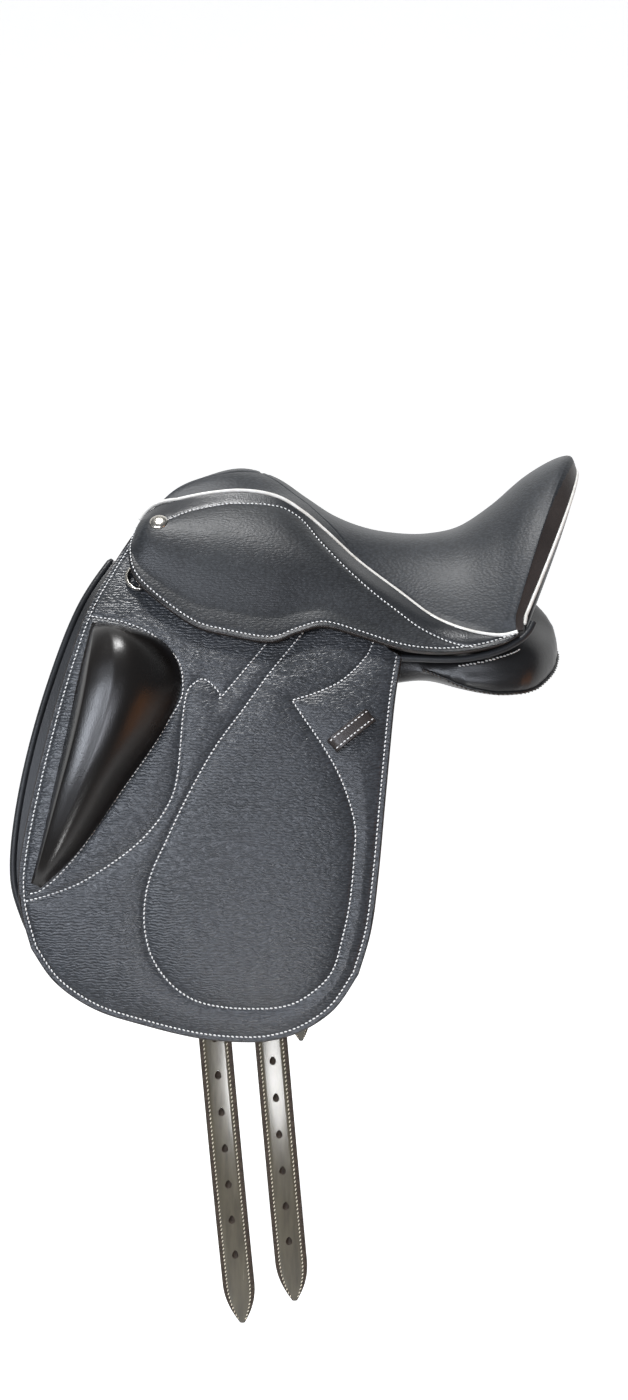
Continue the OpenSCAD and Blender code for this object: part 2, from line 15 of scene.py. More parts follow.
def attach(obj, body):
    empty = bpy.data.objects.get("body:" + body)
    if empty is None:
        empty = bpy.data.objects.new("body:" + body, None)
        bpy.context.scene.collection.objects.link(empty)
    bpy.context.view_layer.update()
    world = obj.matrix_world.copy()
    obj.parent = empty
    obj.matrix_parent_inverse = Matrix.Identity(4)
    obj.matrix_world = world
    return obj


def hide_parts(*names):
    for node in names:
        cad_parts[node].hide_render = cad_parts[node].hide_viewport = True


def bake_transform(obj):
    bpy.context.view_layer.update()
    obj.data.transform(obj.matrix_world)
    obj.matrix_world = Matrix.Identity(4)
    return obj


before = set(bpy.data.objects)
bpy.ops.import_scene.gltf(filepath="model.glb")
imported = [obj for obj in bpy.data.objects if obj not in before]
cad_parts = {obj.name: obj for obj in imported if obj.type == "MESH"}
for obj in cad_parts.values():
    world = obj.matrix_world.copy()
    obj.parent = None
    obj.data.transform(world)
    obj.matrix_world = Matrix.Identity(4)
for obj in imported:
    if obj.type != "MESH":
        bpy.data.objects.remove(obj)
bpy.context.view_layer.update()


# Tree: the saddle's frame, laminated from beech and varnished, with an arched steel plate under the head.
# Two springs of blued steel strip are riveted along the rails, and webs are strained over the top as a seat.
def linear(colour):
    """sRGB hex to the linear colour that a shader socket takes."""
    parts = [int(colour[i:i + 2], 16) / 255 for i in (1, 3, 5)]
    return [p / 12.92 if p < 0.04045 else ((p + 0.055) / 1.055) ** 2.4 for p in parts] + [1]


def add(tree, kind, settings={}, links={}):
    """Adds a shader node, sets its values and joins its inputs; stops are a ramp's places and sRGB colours."""
    made = tree.nodes.new("ShaderNode" + kind)
    for name, value in settings.items():
        if name == "stops":
            for element, (place, colour) in zip(made.color_ramp.elements, value):
                element.position, element.color = place, linear(colour)
        elif isinstance(name, int) or name in made.inputs:
            made.inputs[name].default_value = value
        else:
            setattr(made, name, value)
    for name, socket in links.items():
        tree.links.new(socket, made.inputs[name])
    return made


def finish(name, settings):
    """A new material with its principled shader set; returns the material, its nodes and the shader."""
    made = bpy.data.materials.new(name)
    made.use_nodes = True
    shader = made.node_tree.nodes["Principled BSDF"]
    for key, value in settings.items():
        shader.inputs[key].default_value = value
    return made, made.node_tree, shader


def per(mm):
    """Texture scale for a pattern that repeats at a size in millimetres."""
    return 1000 / mm


# Beech laminate: pale brown veneers, with fibres that run along the rails under a satin varnish
beech, t, s = finish("beech_laminate", {"Roughness": 0.42, "IOR": 1.5})
at = add(t, "TexCoord")
fibre = add(t, "Mapping", {"Scale": (per(60), per(4), per(4))}, {"Vector": at.outputs["Object"]})
streak = add(t, "TexNoise", {"Scale": 1.0, "Detail": 5.0, "Distortion": 0.6}, {"Vector": fibre.outputs[0]})
wood = add(t, "ValToRGB", {"stops": [(0.3, "#8e6238"), (0.7, "#c99c68")]}, {"Fac": streak.outputs[0]})
pore = add(t, "Bump", {"Strength": 0.25, "Distance": 0.0003}, {"Height": streak.outputs[0]})
t.links.new(wood.outputs[0], s.inputs["Base Color"])
t.links.new(pore.outputs[0], s.inputs["Normal"])

# Spring steel: rolled and blued, with faint lines along the strip
blued, t, s = finish("blued_spring_steel", {"Metallic": 1.0, "Roughness": 0.38})
at = add(t, "TexCoord")
lines = add(t, "Mapping", {"Scale": (per(80), per(1.5), per(1.5))}, {"Vector": at.outputs["Object"]})
rolled = add(t, "TexNoise", {"Scale": 1.0, "Detail": 3.0}, {"Vector": lines.outputs[0]})
tone = add(t, "ValToRGB", {"stops": [(0.3, "#3c424a"), (0.7, "#5d646d")]}, {"Fac": rolled.outputs[0]})
t.links.new(tone.outputs[0], s.inputs["Base Color"])

# Web: a plain weave of stout cotton and linen, 2 mm threads, drawn coarse enough to show, its tone darker where
# the weave lies low, as painted shade
web, t, s = finish("woven_web", {"Roughness": 0.9, "Sheen Weight": 0.2})
at = add(t, "TexCoord")
warp = add(t, "TexWave", {"Scale": per(2) / 20, "Distortion": 0.6, "bands_direction": "X"},
           {"Vector": at.outputs["Object"]})
weft = add(t, "TexWave", {"Scale": per(2) / 20, "Distortion": 0.6, "bands_direction": "DIAGONAL"},
           {"Vector": at.outputs["Object"]})
cross = add(t, "Math", {"operation": "MULTIPLY"}, {0: warp.outputs["Fac"], 1: weft.outputs["Fac"]})
tone = add(t, "ValToRGB", {"stops": [(0.0, "#5f584a"), (0.8, "#a09679")]}, {"Fac": cross.outputs[0]})
ribs = add(t, "Bump", {"Strength": 0.5, "Distance": 0.0005}, {"Height": cross.outputs[0]})
t.links.new(tone.outputs[0], s.inputs["Base Color"])
t.links.new(ribs.outputs[0], s.inputs["Normal"])


def dress(material, *nodes):
    """Gives the frame's own nodes a material."""
    for n in nodes:
        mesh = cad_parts[n].data
        mesh.materials.clear()
        mesh.materials.append(material)


dress(beech, "tree_head", "tree_rail_left", "tree_rail_right", "tree_cantle")
dress(blued, "spring_strips", "gullet_plate")
dress(web, "straining_webs", "girth_web_left", "girth_web_right")


# Seat foam: a slab of moulded latex foam, glued over the webs, thinner at the pommel and rounded at its rim.
# It gives the seat its deep dip, and shows only from below, between the webs.
def curve(a, b, c, d, k):
    """The smooth curve from b to c, at a share k of the way, with its neighbours a and d."""
    return 0.5 * (2 * b + (c - a) * k + (2 * a - 5 * b + 4 * c - d) * k ** 2
                  + (3 * b - a - 3 * c + d) * k ** 3)


def through(points, u):
    """A smooth curve through listed points, at places from 0 to 1."""
    p = np.asarray(points, float)
    place = np.asarray(u, float) * (len(p) - 1)
    i = np.clip(np.floor(place).astype(int), 0, len(p) - 2)
    k = (place - i).reshape(place.shape + (1,) * (p.ndim - 1))
    a, b, c, d = p[np.maximum(i - 1, 0)], p[i], p[i + 1], p[np.minimum(i + 2, len(p) - 1)]
    return curve(a, b, c, d, k)


def unit(v):
    """Vectors made one unit long."""
    return v / np.linalg.norm(v, axis=-1, keepdims=True)


# Cross sections of the seat: centre x and z, edge x, half width, edge z, power of x, power of z
SEAT_SECTIONS = [
    (-117, 149, -176, 71, 110, 1.6, 1.9), (-104, 161, -160, 65, 124, 1.6, 2),
    (-74, 166, -118, 59, 136, 1.8, 2.2), (-40, 156, -72, 56, 140, 2, 2.2), (-8, 135, -30, 59, 132, 2, 2),
    (22, 116, 6, 66, 107, 2, 2.2), (56, 103, 45, 77, 71, 2, 2.4), (92, 97, 85, 94, 42, 2, 2.5),
    (126, 97, 120, 114, 17, 2, 2.5), (160, 105, 150, 130, 5, 2, 2.4), (195, 128, 172, 139, 2, 2, 2.3),
    (230, 158, 183, 142, 5, 1.6, 2.1), (260, 176, 188, 143, 9, 1.4, 2), (276, 179, 193, 143.5, 11, 1.4, 2),
    (281, 167, 200, 143, 10, 1.9, 2)]


def seat(u, v):
    """A point of the seat's top: u from pommel to cantle, v from the near edge to the off edge."""
    u, v = np.broadcast_arrays(np.asarray(u, float), np.asarray(v, float))
    r, a = np.moveaxis(through(SEAT_SECTIONS, u), -1, 0), np.abs(v)
    x = r[0] + (r[2] - r[0]) * a ** r[5]
    z = r[1] + (r[4] - r[1]) * a ** r[6]
    return np.stack([x, np.sign(v) * r[3] * a, z], -1)


def seat_up(u, v):
    """The seat's normal, away from the horse."""
    h = 0.01
    u, v = np.clip(u, h, 1 - h), np.clip(v, -0.98, 0.98)
    return unit(np.cross(seat(u + h, v) - seat(u - h, v), seat(u, v + h) - seat(u, v - h)))


def piece(name, points, faces, materials, side=1, marks=None, body=None, smooth=True):
    """A mesh from points in millimetres of the off side; side -1 mirrors it for the near side."""
    points = np.asarray(points, float).reshape(-1, 3) * (0.001, 0.001 * side, 0.001)
    mesh = bpy.data.meshes.new(name)
    mesh.from_pydata(points, [], [f[::-1] for f in faces] if side < 0 else faces)
    for m in materials:
        mesh.materials.append(m)
    if marks is not None:
        mesh.polygons.foreach_set("material_index", marks)
    work = bmesh.new()
    work.from_mesh(mesh)
    bmesh.ops.recalc_face_normals(work, faces=work.faces)
    work.to_mesh(mesh)
    work.free()
    if smooth:
        mesh.polygons.foreach_set("use_smooth", [True] * len(mesh.polygons))
    made = bpy.data.objects.new(name, mesh)
    bpy.context.scene.collection.objects.link(made)
    if body:
        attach(made, body)
    return made


def slab(name, top, under, materials, side=1, round_edge=1.0, marks=0):
    """A sheet between two grids of points; marks choose its cells' materials, and its rim has the second."""
    n, m = top.shape[:2]
    k = n * m
    cell = np.arange(k).reshape(n, m)
    a, b, c, d = cell[:-1, :-1].ravel(), cell[1:, :-1].ravel(), cell[1:, 1:].ravel(), cell[:-1, 1:].ravel()
    loop = np.concatenate([cell[0, :-1], cell[:-1, -1], cell[-1, :0:-1], cell[:0:-1, 0]])
    after = np.roll(loop, -1)
    faces = [*zip(a, b, c, d), *zip(a + k, d + k, c + k, b + k), *zip(loop, after, after + k, loop + k)]
    faces = [tuple(int(i) for i in f) for f in faces]
    marks = np.broadcast_to(marks, (n - 1, m - 1)).ravel().astype(int).tolist() * 2 + [1] * len(loop)
    points = np.concatenate([top.reshape(-1, 3), under.reshape(-1, 3)])
    made = piece(name, points, faces, materials, side, marks)
    work = bmesh.new()
    work.from_mesh(made.data)
    work.verts.ensure_lookup_table()
    rim = [work.edges.get((work.verts[i + o], work.verts[j + o])) for i, j in zip(loop, after) for o in (0, k)]
    bmesh.ops.bevel(work, geom=rim, offset=0.001 * round_edge, segments=3, profile=0.5, affect="EDGES",
                    material=1, clamp_overlap=False)
    work.to_mesh(made.data)
    work.free()
    made.data.polygons.foreach_set("use_smooth", [True] * len(made.data.polygons))
    return made


# Latex foam: cream, matt, with open cells of about 1.5 mm, its tone darker where the cells' surface lies low,
# as painted shade
latex, t, s = finish("latex_foam", {"Roughness": 0.95})
at = add(t, "TexCoord")
cells = add(t, "TexVoronoi", {"Scale": per(1.5)}, {"Vector": at.outputs["Object"]})
tone = add(t, "ValToRGB", {"stops": [(0.0, "#d9cfab"), (0.8, "#b9ad86")]}, {"Fac": cells.outputs["Distance"]})
open_cells = add(t, "Bump", {"Strength": 0.6, "Distance": 0.0006, "invert": True},
                 {"Height": cells.outputs["Distance"]})
t.links.new(tone.outputs[0], s.inputs["Base Color"])
t.links.new(open_cells.outputs[0], s.inputs["Normal"])

COVER = 2.5
FOAM = 20
LIE = 0.3  # clearance between pieces that lie on each other
WEB_ROOM = 2.6
FOAM_LONG = (2 / 24, 22 / 24)
TREE_HALF = 0.8125
FOAM_ROUND = 2.5
u, v = np.meshgrid(np.linspace(*FOAM_LONG, 60), np.linspace(-TREE_HALF, TREE_HALF, 50), indexing="ij")
deep = (COVER + FOAM * np.minimum(1, 0.6 + 1.3 * u) - WEB_ROOM)[..., None]
foam = slab("seat_foam_slab", seat(u, v) - seat_up(u, v) * (COVER + LIE), seat(u, v) - seat_up(u, v) * deep,
            [latex, latex], round_edge=FOAM_ROUND)
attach(foam, "saddle")
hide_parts("seat_foam")


# Panels: two long cushions of soft black leather, stuffed with wool, that bear on the horse beside its spine.
# They are closed with a gusset at the back, its seam a leather welt overcast with thread.
SIDES = {"left": -1, "right": 1}
PANEL_SECTIONS = [
    (-196, [(52, 76), (70, 62), (88, 30), (95, 6), (80, 12), (56, 52)]),
    (-150, [(36, 92), (64, 80), (98, 24), (113, -18), (84, -8), (44, 58)]),
    (-60, [(34, 86), (62, 74), (103, 20), (124, -38), (90, -28), (40, 42)]),
    (20, [(33, 68), (60, 52), (107, 10), (128, -50), (92, -42), (38, 22)]),
    (76, [(33, 52), (62, 31), (110, -6), (131, -50), (94, -50), (38, 2)]),
    (112, [(33, 42), (76, 14), (126, -30), (131, -46), (95, -52), (38, -8)]),
    (150, [(33, 44), (80, 14), (140, -32), (144, -54), (97, -56), (38, -14)]),
    (186, [(33, 46), (82, 20), (142, -24), (146, -58), (98, -57), (38, -16)]),
    (218, [(33, 40), (80, 18), (133, -16), (138, -54), (95, -54), (38, -14)]),
    (244, [(36, 20), (68, 8), (102, -14), (108, -42), (80, -42), (40, -10)]),
    (256, [(46, 2), (62, -2), (77, -14), (80, -30), (64, -31), (48, -14)])]
PANEL_AROUND = 36
PANEL_ALONG = 60


def ring(corners, s):
    """A smooth closed curve through corners, at places counted in corners."""
    n = corners.shape[-2]
    i, k = np.floor(s).astype(int), (s - np.floor(s))[:, None]
    a, b, c, d = (corners[..., (i + o) % n, :] for o in (-1, 0, 1, 2))
    return curve(a, b, c, d, k)


def tube(rings):
    """Points and faces of a closed form through rings of points, with a point at each end."""
    n, m = rings.shape[:2]
    cell = np.arange(n * m).reshape(n, m)
    a, b = cell[:-1], cell[1:]
    faces = [*zip(a.ravel(), np.roll(a, -1, 1).ravel(), np.roll(b, -1, 1).ravel(), b.ravel())]
    faces += [(n * m, q, p) for p, q in zip(cell[0], np.roll(cell[0], -1))]
    faces += [(n * m + 1, p, q) for p, q in zip(cell[-1], np.roll(cell[-1], -1))]
    points = np.concatenate([rings.reshape(-1, 3), rings[:1].mean(1), rings[-1:].mean(1)])
    return points, [tuple(int(i) for i in f) for f in faces]


def stuff(form, voxel, cap, frames=20):
    """Swells a closed form as stuffing does: a skin of cloth under pressure, with its travel capped."""
    skin = form.copy()
    skin.data = form.data.copy()
    bpy.context.scene.collection.objects.link(skin)
    remesh = skin.modifiers.new("voxels", "REMESH")
    remesh.mode, remesh.voxel_size = "VOXEL", 0.001 * voxel
    graph = bpy.context.evaluated_depsgraph_get()
    skin.data = bpy.data.meshes.new_from_object(skin.evaluated_get(graph))
    skin.modifiers.clear()
    before = np.array([p.co for p in skin.data.vertices])
    cloth = skin.modifiers.new("cloth", "CLOTH")
    cloth.settings.use_pressure = True
    cloth.settings.uniform_pressure_force = 4
    cloth.settings.effector_weights.gravity = 0
    cloth.settings.tension_stiffness = cloth.settings.compression_stiffness = 20
    cloth.point_cache.frame_end = frames
    for f in range(1, frames + 1):
        bpy.context.scene.frame_set(f)
    graph = bpy.context.evaluated_depsgraph_get()
    after = np.array([p.co for p in skin.evaluated_get(graph).data.vertices])
    skin.modifiers.clear()
    bpy.context.scene.frame_set(1)
    move = after - before
    far = np.linalg.norm(move, axis=1, keepdims=True)
    move *= np.minimum(1, 0.001 * cap / np.maximum(far, 1e-9))
    skin.data.vertices.foreach_set("co", (before + move).ravel())
    form.data = skin.data
    bpy.data.objects.remove(skin)


def smooth_mesh(made, rounds, levels):
    """Evens out a mesh and gives it finer faces."""
    even = made.modifiers.new("even", "SMOOTH")
    even.factor, even.iterations = 0.5, rounds
    finer = made.modifiers.new("finer", "SUBSURF")
    finer.levels = finer.render_levels = levels
    graph = bpy.context.evaluated_depsgraph_get()
    made.data = bpy.data.meshes.new_from_object(made.evaluated_get(graph))
    made.modifiers.clear()
    made.data.polygons.foreach_set("use_smooth", [True] * len(made.data.polygons))


def cord(name, path, radius, materials, side=1, body=None, sides=10):
    """A round cord along a path of points, its ends rounded down."""
    path = np.asarray(path, float)
    ahead = unit(np.gradient(path, axis=0))
    across = unit(np.cross(ahead, np.array([0, 0.3, 1.0])))
    up = np.cross(ahead, across)
    turn = np.linspace(0, 2 * math.pi, sides, endpoint=False)
    thick = np.full(len(path), float(radius))
    thick[[0, -1]] *= 0.55
    rings = path[:, None] + thick[:, None, None] * (
        np.cos(turn)[None, :, None] * across[:, None] + np.sin(turn)[None, :, None] * up[:, None])
    points, faces = tube(rings)
    return piece(name, points, [f[::-1] for f in faces], materials, side, body=body)


def even_steps(path, step):
    """Points along a path, one step apart, with the path's direction at each."""
    path = np.asarray(path, float)
    run = np.concatenate([[0], np.cumsum(np.linalg.norm(np.diff(path, axis=0), axis=1))])
    count = max(2, int(round(run[-1] / step)))
    places = (np.arange(count) + 0.5) * run[-1] / count
    points = np.stack([np.interp(places, run, path[:, c]) for c in range(path.shape[1])], 1)
    ahead = np.stack([np.interp(places + 0.5, run, path[:, c]) - np.interp(places - 0.5, run, path[:, c])
                      for c in range(path.shape[1])], 1)
    return points, unit(ahead)


# A stitch: places along it and its share of the full width there, and the number of its sides
STITCH_RINGS = [(-0.5, 0.25), (-0.34, 0.85), (0.0, 1.0), (0.34, 0.85), (0.5, 0.25)]
STITCH_SIDES = 6


def stitches(seams, length, width, slant, rise=0.35):
    """Points and faces of sewn stitches: seams are lists of (points, directions, normals), in millimetres."""
    m, rows = STITCH_SIDES, len(STITCH_RINGS)
    turn = np.linspace(0, 2 * math.pi, m, endpoint=False)
    shape = np.array([(length * a, 0.5 * width * b * math.cos(k), 0.5 * width * b * math.sin(k))
                      for a, b in STITCH_RINGS for k in turn])
    ring_faces = [(m * i + j, m * i + (j + 1) % m, m * i + m + (j + 1) % m, m * i + m + j)
                  for i in range(rows - 1) for j in range(m)]
    ring_faces += [tuple(range(m - 1, -1, -1)), tuple(m * (rows - 1) + j for j in range(m))]
    points, faces = [], []
    for spots, ahead, normal in seams:
        normal = unit(normal - ahead * (normal * ahead).sum(1, keepdims=True))
        across = np.cross(normal, ahead)
        along = math.cos(slant) * ahead + math.sin(slant) * across
        across = np.cross(normal, along)
        for p, d, a, o in zip(spots, along, across, normal):
            base = sum(len(q) for q in points)
            points.append(p + o * width * rise + shape @ np.array([d, a, o]))
            faces += [tuple(base + i for i in f) for f in ring_faces]
    return np.concatenate(points), faces


WAVE_PERIOD = 0.314  # the length at which a wave texture of scale 1 repeats


def leather(name, dark, light, grain, depth, rough, stretch=(1, 1, 1), specular=0.5, painted_crease_shade=0.45, drawn=0.0):
    """Dyed cowhide: pebbles of a printed grain, painted shade in the creases between them, and a dye that lies
    unevenly.

    grain is the pebbles' size and depth their relief, in millimetres; stretch draws them out along an axis, and
    crease is the share of colour kept in the creases, as painted shade. drawn is the share of wavy wrinkles in
    the grain.
    """
    made, t, s = finish(name, {"Roughness": rough, "IOR": 1.5, "Specular IOR Level": specular})
    at = add(t, "TexCoord")
    wander = add(t, "TexNoise", {"Scale": per(5 * grain), "Detail": 2.0}, {"Vector": at.outputs["Object"]})
    shift = add(t, "VectorMath", {"operation": "MULTIPLY_ADD", 1: [0.002 * grain] * 3},
                {0: wander.outputs["Color"], 2: at.outputs["Object"]})
    lay = add(t, "Mapping", {"Scale": [per(grain) / k for k in stretch]}, {"Vector": shift.outputs[0]})
    cells = add(t, "TexVoronoi", {"feature": "SMOOTH_F1", "Scale": 1.0, "Smoothness": 0.3},
                {"Vector": lay.outputs[0]})
    dome = add(t, "MapRange", {"From Min": 0.75, "From Max": 0.15}, {"Value": cells.outputs["Distance"]})
    folds = add(t, "TexWave", {"bands_direction": "Z", "Scale": WAVE_PERIOD * per(grain), "Distortion": 6.0,
                               "Detail": 2.0, "Detail Scale": 1.3, "Detail Roughness": 0.6},
                {"Vector": shift.outputs[0]})
    dome = add(t, "Mix", {"Factor": drawn}, {"A": dome.outputs[0], "B": folds.outputs["Fac"]})
    fine = add(t, "TexNoise", {"Scale": per(0.5 * grain), "Detail": 3.0}, {"Vector": at.outputs["Object"]})
    height = add(t, "Math", {"operation": "MULTIPLY_ADD", 1: 0.3}, {0: fine.outputs[0], 2: dome.outputs[0]})
    relief = add(t, "Bump", {"Strength": 0.8, "Distance": 0.001 * depth}, {"Height": height.outputs[0]})
    cloud = add(t, "TexNoise", {"Scale": per(70), "Detail": 4.0, "Roughness": 0.6},
                {"Vector": at.outputs["Object"]})
    tone = add(t, "ValToRGB", {"stops": [(0.3, dark), (0.7, light)]}, {"Fac": cloud.outputs[0]})
    # Painted shade: the colour falls to the crease share in the creases and rises a little on the pebbles' tops
    deep = add(t, "MapRange", {"To Min": painted_crease_shade, "To Max": 1.15}, {"Value": dome.outputs[0]})
    dyed = add(t, "VectorMath", {"operation": "SCALE"}, {0: tone.outputs[0], "Scale": deep.outputs[0]})
    worn = add(t, "MapRange", {"To Min": rough - 0.07, "To Max": rough + 0.1}, {"Value": cloud.outputs[0]})
    t.links.new(dyed.outputs[0], s.inputs["Base Color"])
    t.links.new(worn.outputs[0], s.inputs["Roughness"])
    t.links.new(relief.outputs[0], s.inputs["Normal"])
    return made


# Panel leather: soft, thin, vegetable-tanned hide with a fine natural grain and a low sheen
panel_hide = leather("soft_panel_hide", "#171718", "#1f1f20", grain=1.4, depth=0.08, rough=0.34, painted_crease_shade=0.85)


def mottled(name, settings, size, detail, stops, rough=None):
    """A material whose tone, and roughness if a range is given, varies in patches of a size in millimetres."""
    made, t, s = finish(name, settings)
    at = add(t, "TexCoord")
    patches = add(t, "TexNoise", {"Scale": per(size), "Detail": detail}, {"Vector": at.outputs["Object"]})
    tone = add(t, "ValToRGB", {"stops": stops}, {"Fac": patches.outputs[0]})
    t.links.new(tone.outputs[0], s.inputs["Base Color"])
    if rough:
        rub = add(t, "MapRange", {"To Min": rough[0], "To Max": rough[1]}, {"Value": patches.outputs[0]})
        t.links.new(rub.outputs[0], s.inputs["Roughness"])
    return made


# Gusset thread: black linen rubbed with beeswax, its lay showing brown
linen_thread = mottled("waxed_linen_thread", {"Roughness": 0.5}, 1.2, 2.0,
                       [(0.35, "#0d0b0a"), (0.65, "#4a3e33")])

SLACK = 2.5
STUFFING = (5, SLACK + 1.0)  # the skin's voxels and the most that it travels
across = np.arange(PANEL_AROUND) * len(PANEL_SECTIONS[0][1]) / PANEL_AROUND
spots = np.linspace(0, 1, PANEL_ALONG)
corners = through(np.array([c for _, c in PANEL_SECTIONS], float), spots)
around = ring(corners, across)
middle = around.mean(1, keepdims=True)
inward = middle - around
around = around + unit(inward) * SLACK
xs = through(np.array([x for x, _ in PANEL_SECTIONS], float), spots)
rings = np.concatenate([np.broadcast_to(xs[:, None, None], around.shape[:2] + (1,)), around], -1)
points, faces = tube(rings)
cushion = piece("panel_cushion_right", points, [f[::-1] for f in faces], [panel_hide])
stuff(cushion, *STUFFING)
smooth_mesh(cushion, 4, 1)
cushion.data.materials.clear()
cushion.data.materials.append(panel_hide)

GUSSET_SEAM = [(107, 130, -34), (124, 136, -42), (143, 141, -50), (162, 145, -56), (180, 146, -59),
               (200, 143, -58), (220, 133, -55), (238, 116, -48), (250, 97, -40), (257, 78, -31),
               (259, 60, -22)]
WELT_R = 1.7
WELT_UP = 0.4
PANEL_STITCH = (4.2, 1.3, 0.6)  # length, width and slant
PANEL_STITCH_PITCH = 4.5


def onto(tree, points, out):
    """Drops points on a surface, in millimetres of the off side; gives them, raised by out, and the normals."""
    hits = [tree.find_nearest(Vector(p) * 0.001) for p in points]
    spots = np.array([h[0] for h in hits]) * 1000
    normals = np.array([h[1] for h in hits])
    return spots + normals * out, normals


skin = BVHTree.FromPolygons([p.co for p in cushion.data.vertices],
                            [tuple(f.vertices) for f in cushion.data.polygons])
seam = through(GUSSET_SEAM, np.linspace(0, 1, 120))
for side, k in SIDES.items():
    made = cushion
    if k < 0:
        made = piece("panel_cushion_left", np.array([p.co for p in cushion.data.vertices]) * 1000,
                     [tuple(f.vertices) for f in cushion.data.polygons], [panel_hide], k)
    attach(made, "saddle")
    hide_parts("panel_" + side)
    path, _ = onto(skin, seam, WELT_UP)
    cord("panel_welt_" + side, path, WELT_R, [panel_hide], k, "saddle")
    spots, ahead = even_steps(path, PANEL_STITCH_PITCH)
    spots, normals = onto(skin, spots, WELT_R + 0.2)
    points, faces = stitches([(spots, ahead, normals)], *PANEL_STITCH)
    piece("panel_stitching_" + side, points, faces, [linen_thread], k, body="saddle")


# Sweat flaps: the inner leathers, of smooth black hide over thin felt, that keep the straps off the horse.
# Their front edge is rolled over a cord, and stands a little ahead of the flap.
SHEET_START = (58, 112, 44)
SHEET_ARCS = [(130, 25), (398, 8), (310, 0)]


def hang(pattern, off):
    """Bends a flat pattern (x along the horse, t down the leather) to the way the leather hangs, at an offset.

    The profile is three arcs, so the leather bends only about the horse's length. Returns points and normals.
    """
    x, t = np.moveaxis(np.asarray(pattern, float), -1, 0)
    off = np.broadcast_to(off, t.shape)
    w, z, a = (np.empty(t.shape) for _ in range(3))
    at_w, at_z, at_a = SHEET_START
    done = 0.0
    for i, (length, end) in enumerate(SHEET_ARCS):
        k = math.radians(end - at_a) / length
        here = t >= done if i else t >= -1e9
        angle = math.radians(at_a) + k * (t - done)
        w[here] = (at_w + (math.cos(math.radians(at_a)) - np.cos(angle)) / k)[here]
        z[here] = (at_z + (math.sin(math.radians(at_a)) - np.sin(angle)) / k)[here]
        a[here] = angle[here]
        at_w += (math.cos(math.radians(at_a)) - math.cos(math.radians(end))) / k
        at_z += (math.sin(math.radians(at_a)) - math.sin(math.radians(end))) / k
        at_a, done = end, done + length
    out = np.stack([np.zeros(t.shape), np.cos(a), np.sin(a)], -1)
    return np.stack([x, w, z], -1) + out * off[..., None], out


def patch(front, rear, head, hem, rows, cols):
    """A grid of pattern points filling four edges: front and rear run down, head and hem run to the rear."""
    v, u = np.linspace(0, 1, rows)[:, None, None], np.linspace(0, 1, cols)[None, :, None]
    f, r = (spread(e, rows)[:, None] for e in (front, rear))
    h, l = (spread(e, cols)[None] for e in (head, hem))
    corners = (1 - v) * ((1 - u) * h[:, :1] + u * h[:, -1:]) + v * ((1 - u) * l[:, :1] + u * l[:, -1:])
    return (1 - u) * f + u * r + (1 - v) * h + v * l - corners


def spread(points, count):
    """Points evenly spaced along the smooth curve through a list."""
    fine = through(points, np.linspace(0, 1, 400))
    run = np.concatenate([[0], np.cumsum(np.linalg.norm(np.diff(fine, axis=0), axis=1))])
    places = np.linspace(0, run[-1], count)
    return np.stack([np.interp(places, run, fine[:, c]) for c in range(fine.shape[1])], 1)


# Sweat-flap leather: smooth, waxed, close grain
flap_lining = leather("waxed_lining_hide", "#1b1c1e", "#26282b", grain=1.2, depth=0.08, rough=0.4,
                      specular=0.35, painted_crease_shade=0.85)

# Edge ink: on the cut edges of the black leathers, dark brown and rubbed to a satin
edge_ink = mottled("rubbed_edge_ink", {"Roughness": 0.38}, 6, 3.0, [(0.35, "#15110f"), (0.7, "#2a211c")])

SWEAT_FRONT = [(-209, 42), (-238, 104), (-266, 200), (-284, 290), (-290, 362), (-281, 404)]
SWEAT_HEM = [(-281, 404), (-262, 437), (-220, 466), (-140, 484), (-110, 486), (-44, 472), (8, 444)]
SWEAT_REAR = [(66, 150), (62, 200), (56, 270), (48, 340), (36, 400), (8, 444)]
SWEAT_HEAD = [(-209, 42), (-140, 69), (-71, 96), (-2, 123), (66, 150)]
SWEAT_OFF = -15.6
SWEAT_THICK = 4
SWEAT_ROLL_R = 3.6
SWEAT_ROLL_IN = (1.5, 0)
SWEAT_ROLL_OUT = 0.8
pattern = patch(SWEAT_FRONT, SWEAT_REAR, SWEAT_HEAD, SWEAT_HEM, 110, 80)
top, _ = hang(pattern, SWEAT_OFF + SWEAT_THICK / 2)
under, _ = hang(pattern, SWEAT_OFF - SWEAT_THICK / 2)
roll, _ = hang(spread(SWEAT_FRONT + SWEAT_HEM[1:4], 130) + SWEAT_ROLL_IN, SWEAT_OFF + SWEAT_ROLL_OUT)
for side, k in SIDES.items():
    made = slab("sweat_flap_leather_" + side, top, under, [flap_lining, edge_ink], k, 1.2)
    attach(made, "saddle")
    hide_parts("sweat_flap_" + side)
    cord("sweat_flap_roll_" + side, roll, SWEAT_ROLL_R, [flap_lining], k, "saddle", sides=14)


# Girth straps: two a side, of waxed strap butt doubled and sewn down both edges, with punched buckle holes.
# Each is sewn to a web over the tree and swings a little about that seam when the girth is drawn up.
STRAP_LEAN = 0.084
STRAP_WIDTH = 31
STRAP_THICK = 4.5
STRAP_OFF = -8.75
STRAP_TOP = 90
STRAP_POINT = 42
STRAP_TIP_HALF = 2.2
STRAP_HEM = 524
HOLE_PITCH = 36
HOLE_COUNT = 7
HOLE_PEAR = (1.15, 0.5)
# A punched hole, from the strap's face to its back: height off the strap's middle, radius, and drop
HOLE_SLANT = [(6, 3.6, 2.6), (STRAP_THICK / 2, 3.1, 0), (-STRAP_THICK / 2, 2.0, -4.6), (-6, 1.8, -8)]
# Each strap: its x at the hem, its tip, and the distance from there to the last hole
STRAPS = {"front": (-94, 813, 73), "rear": (-41, 789, 63)}
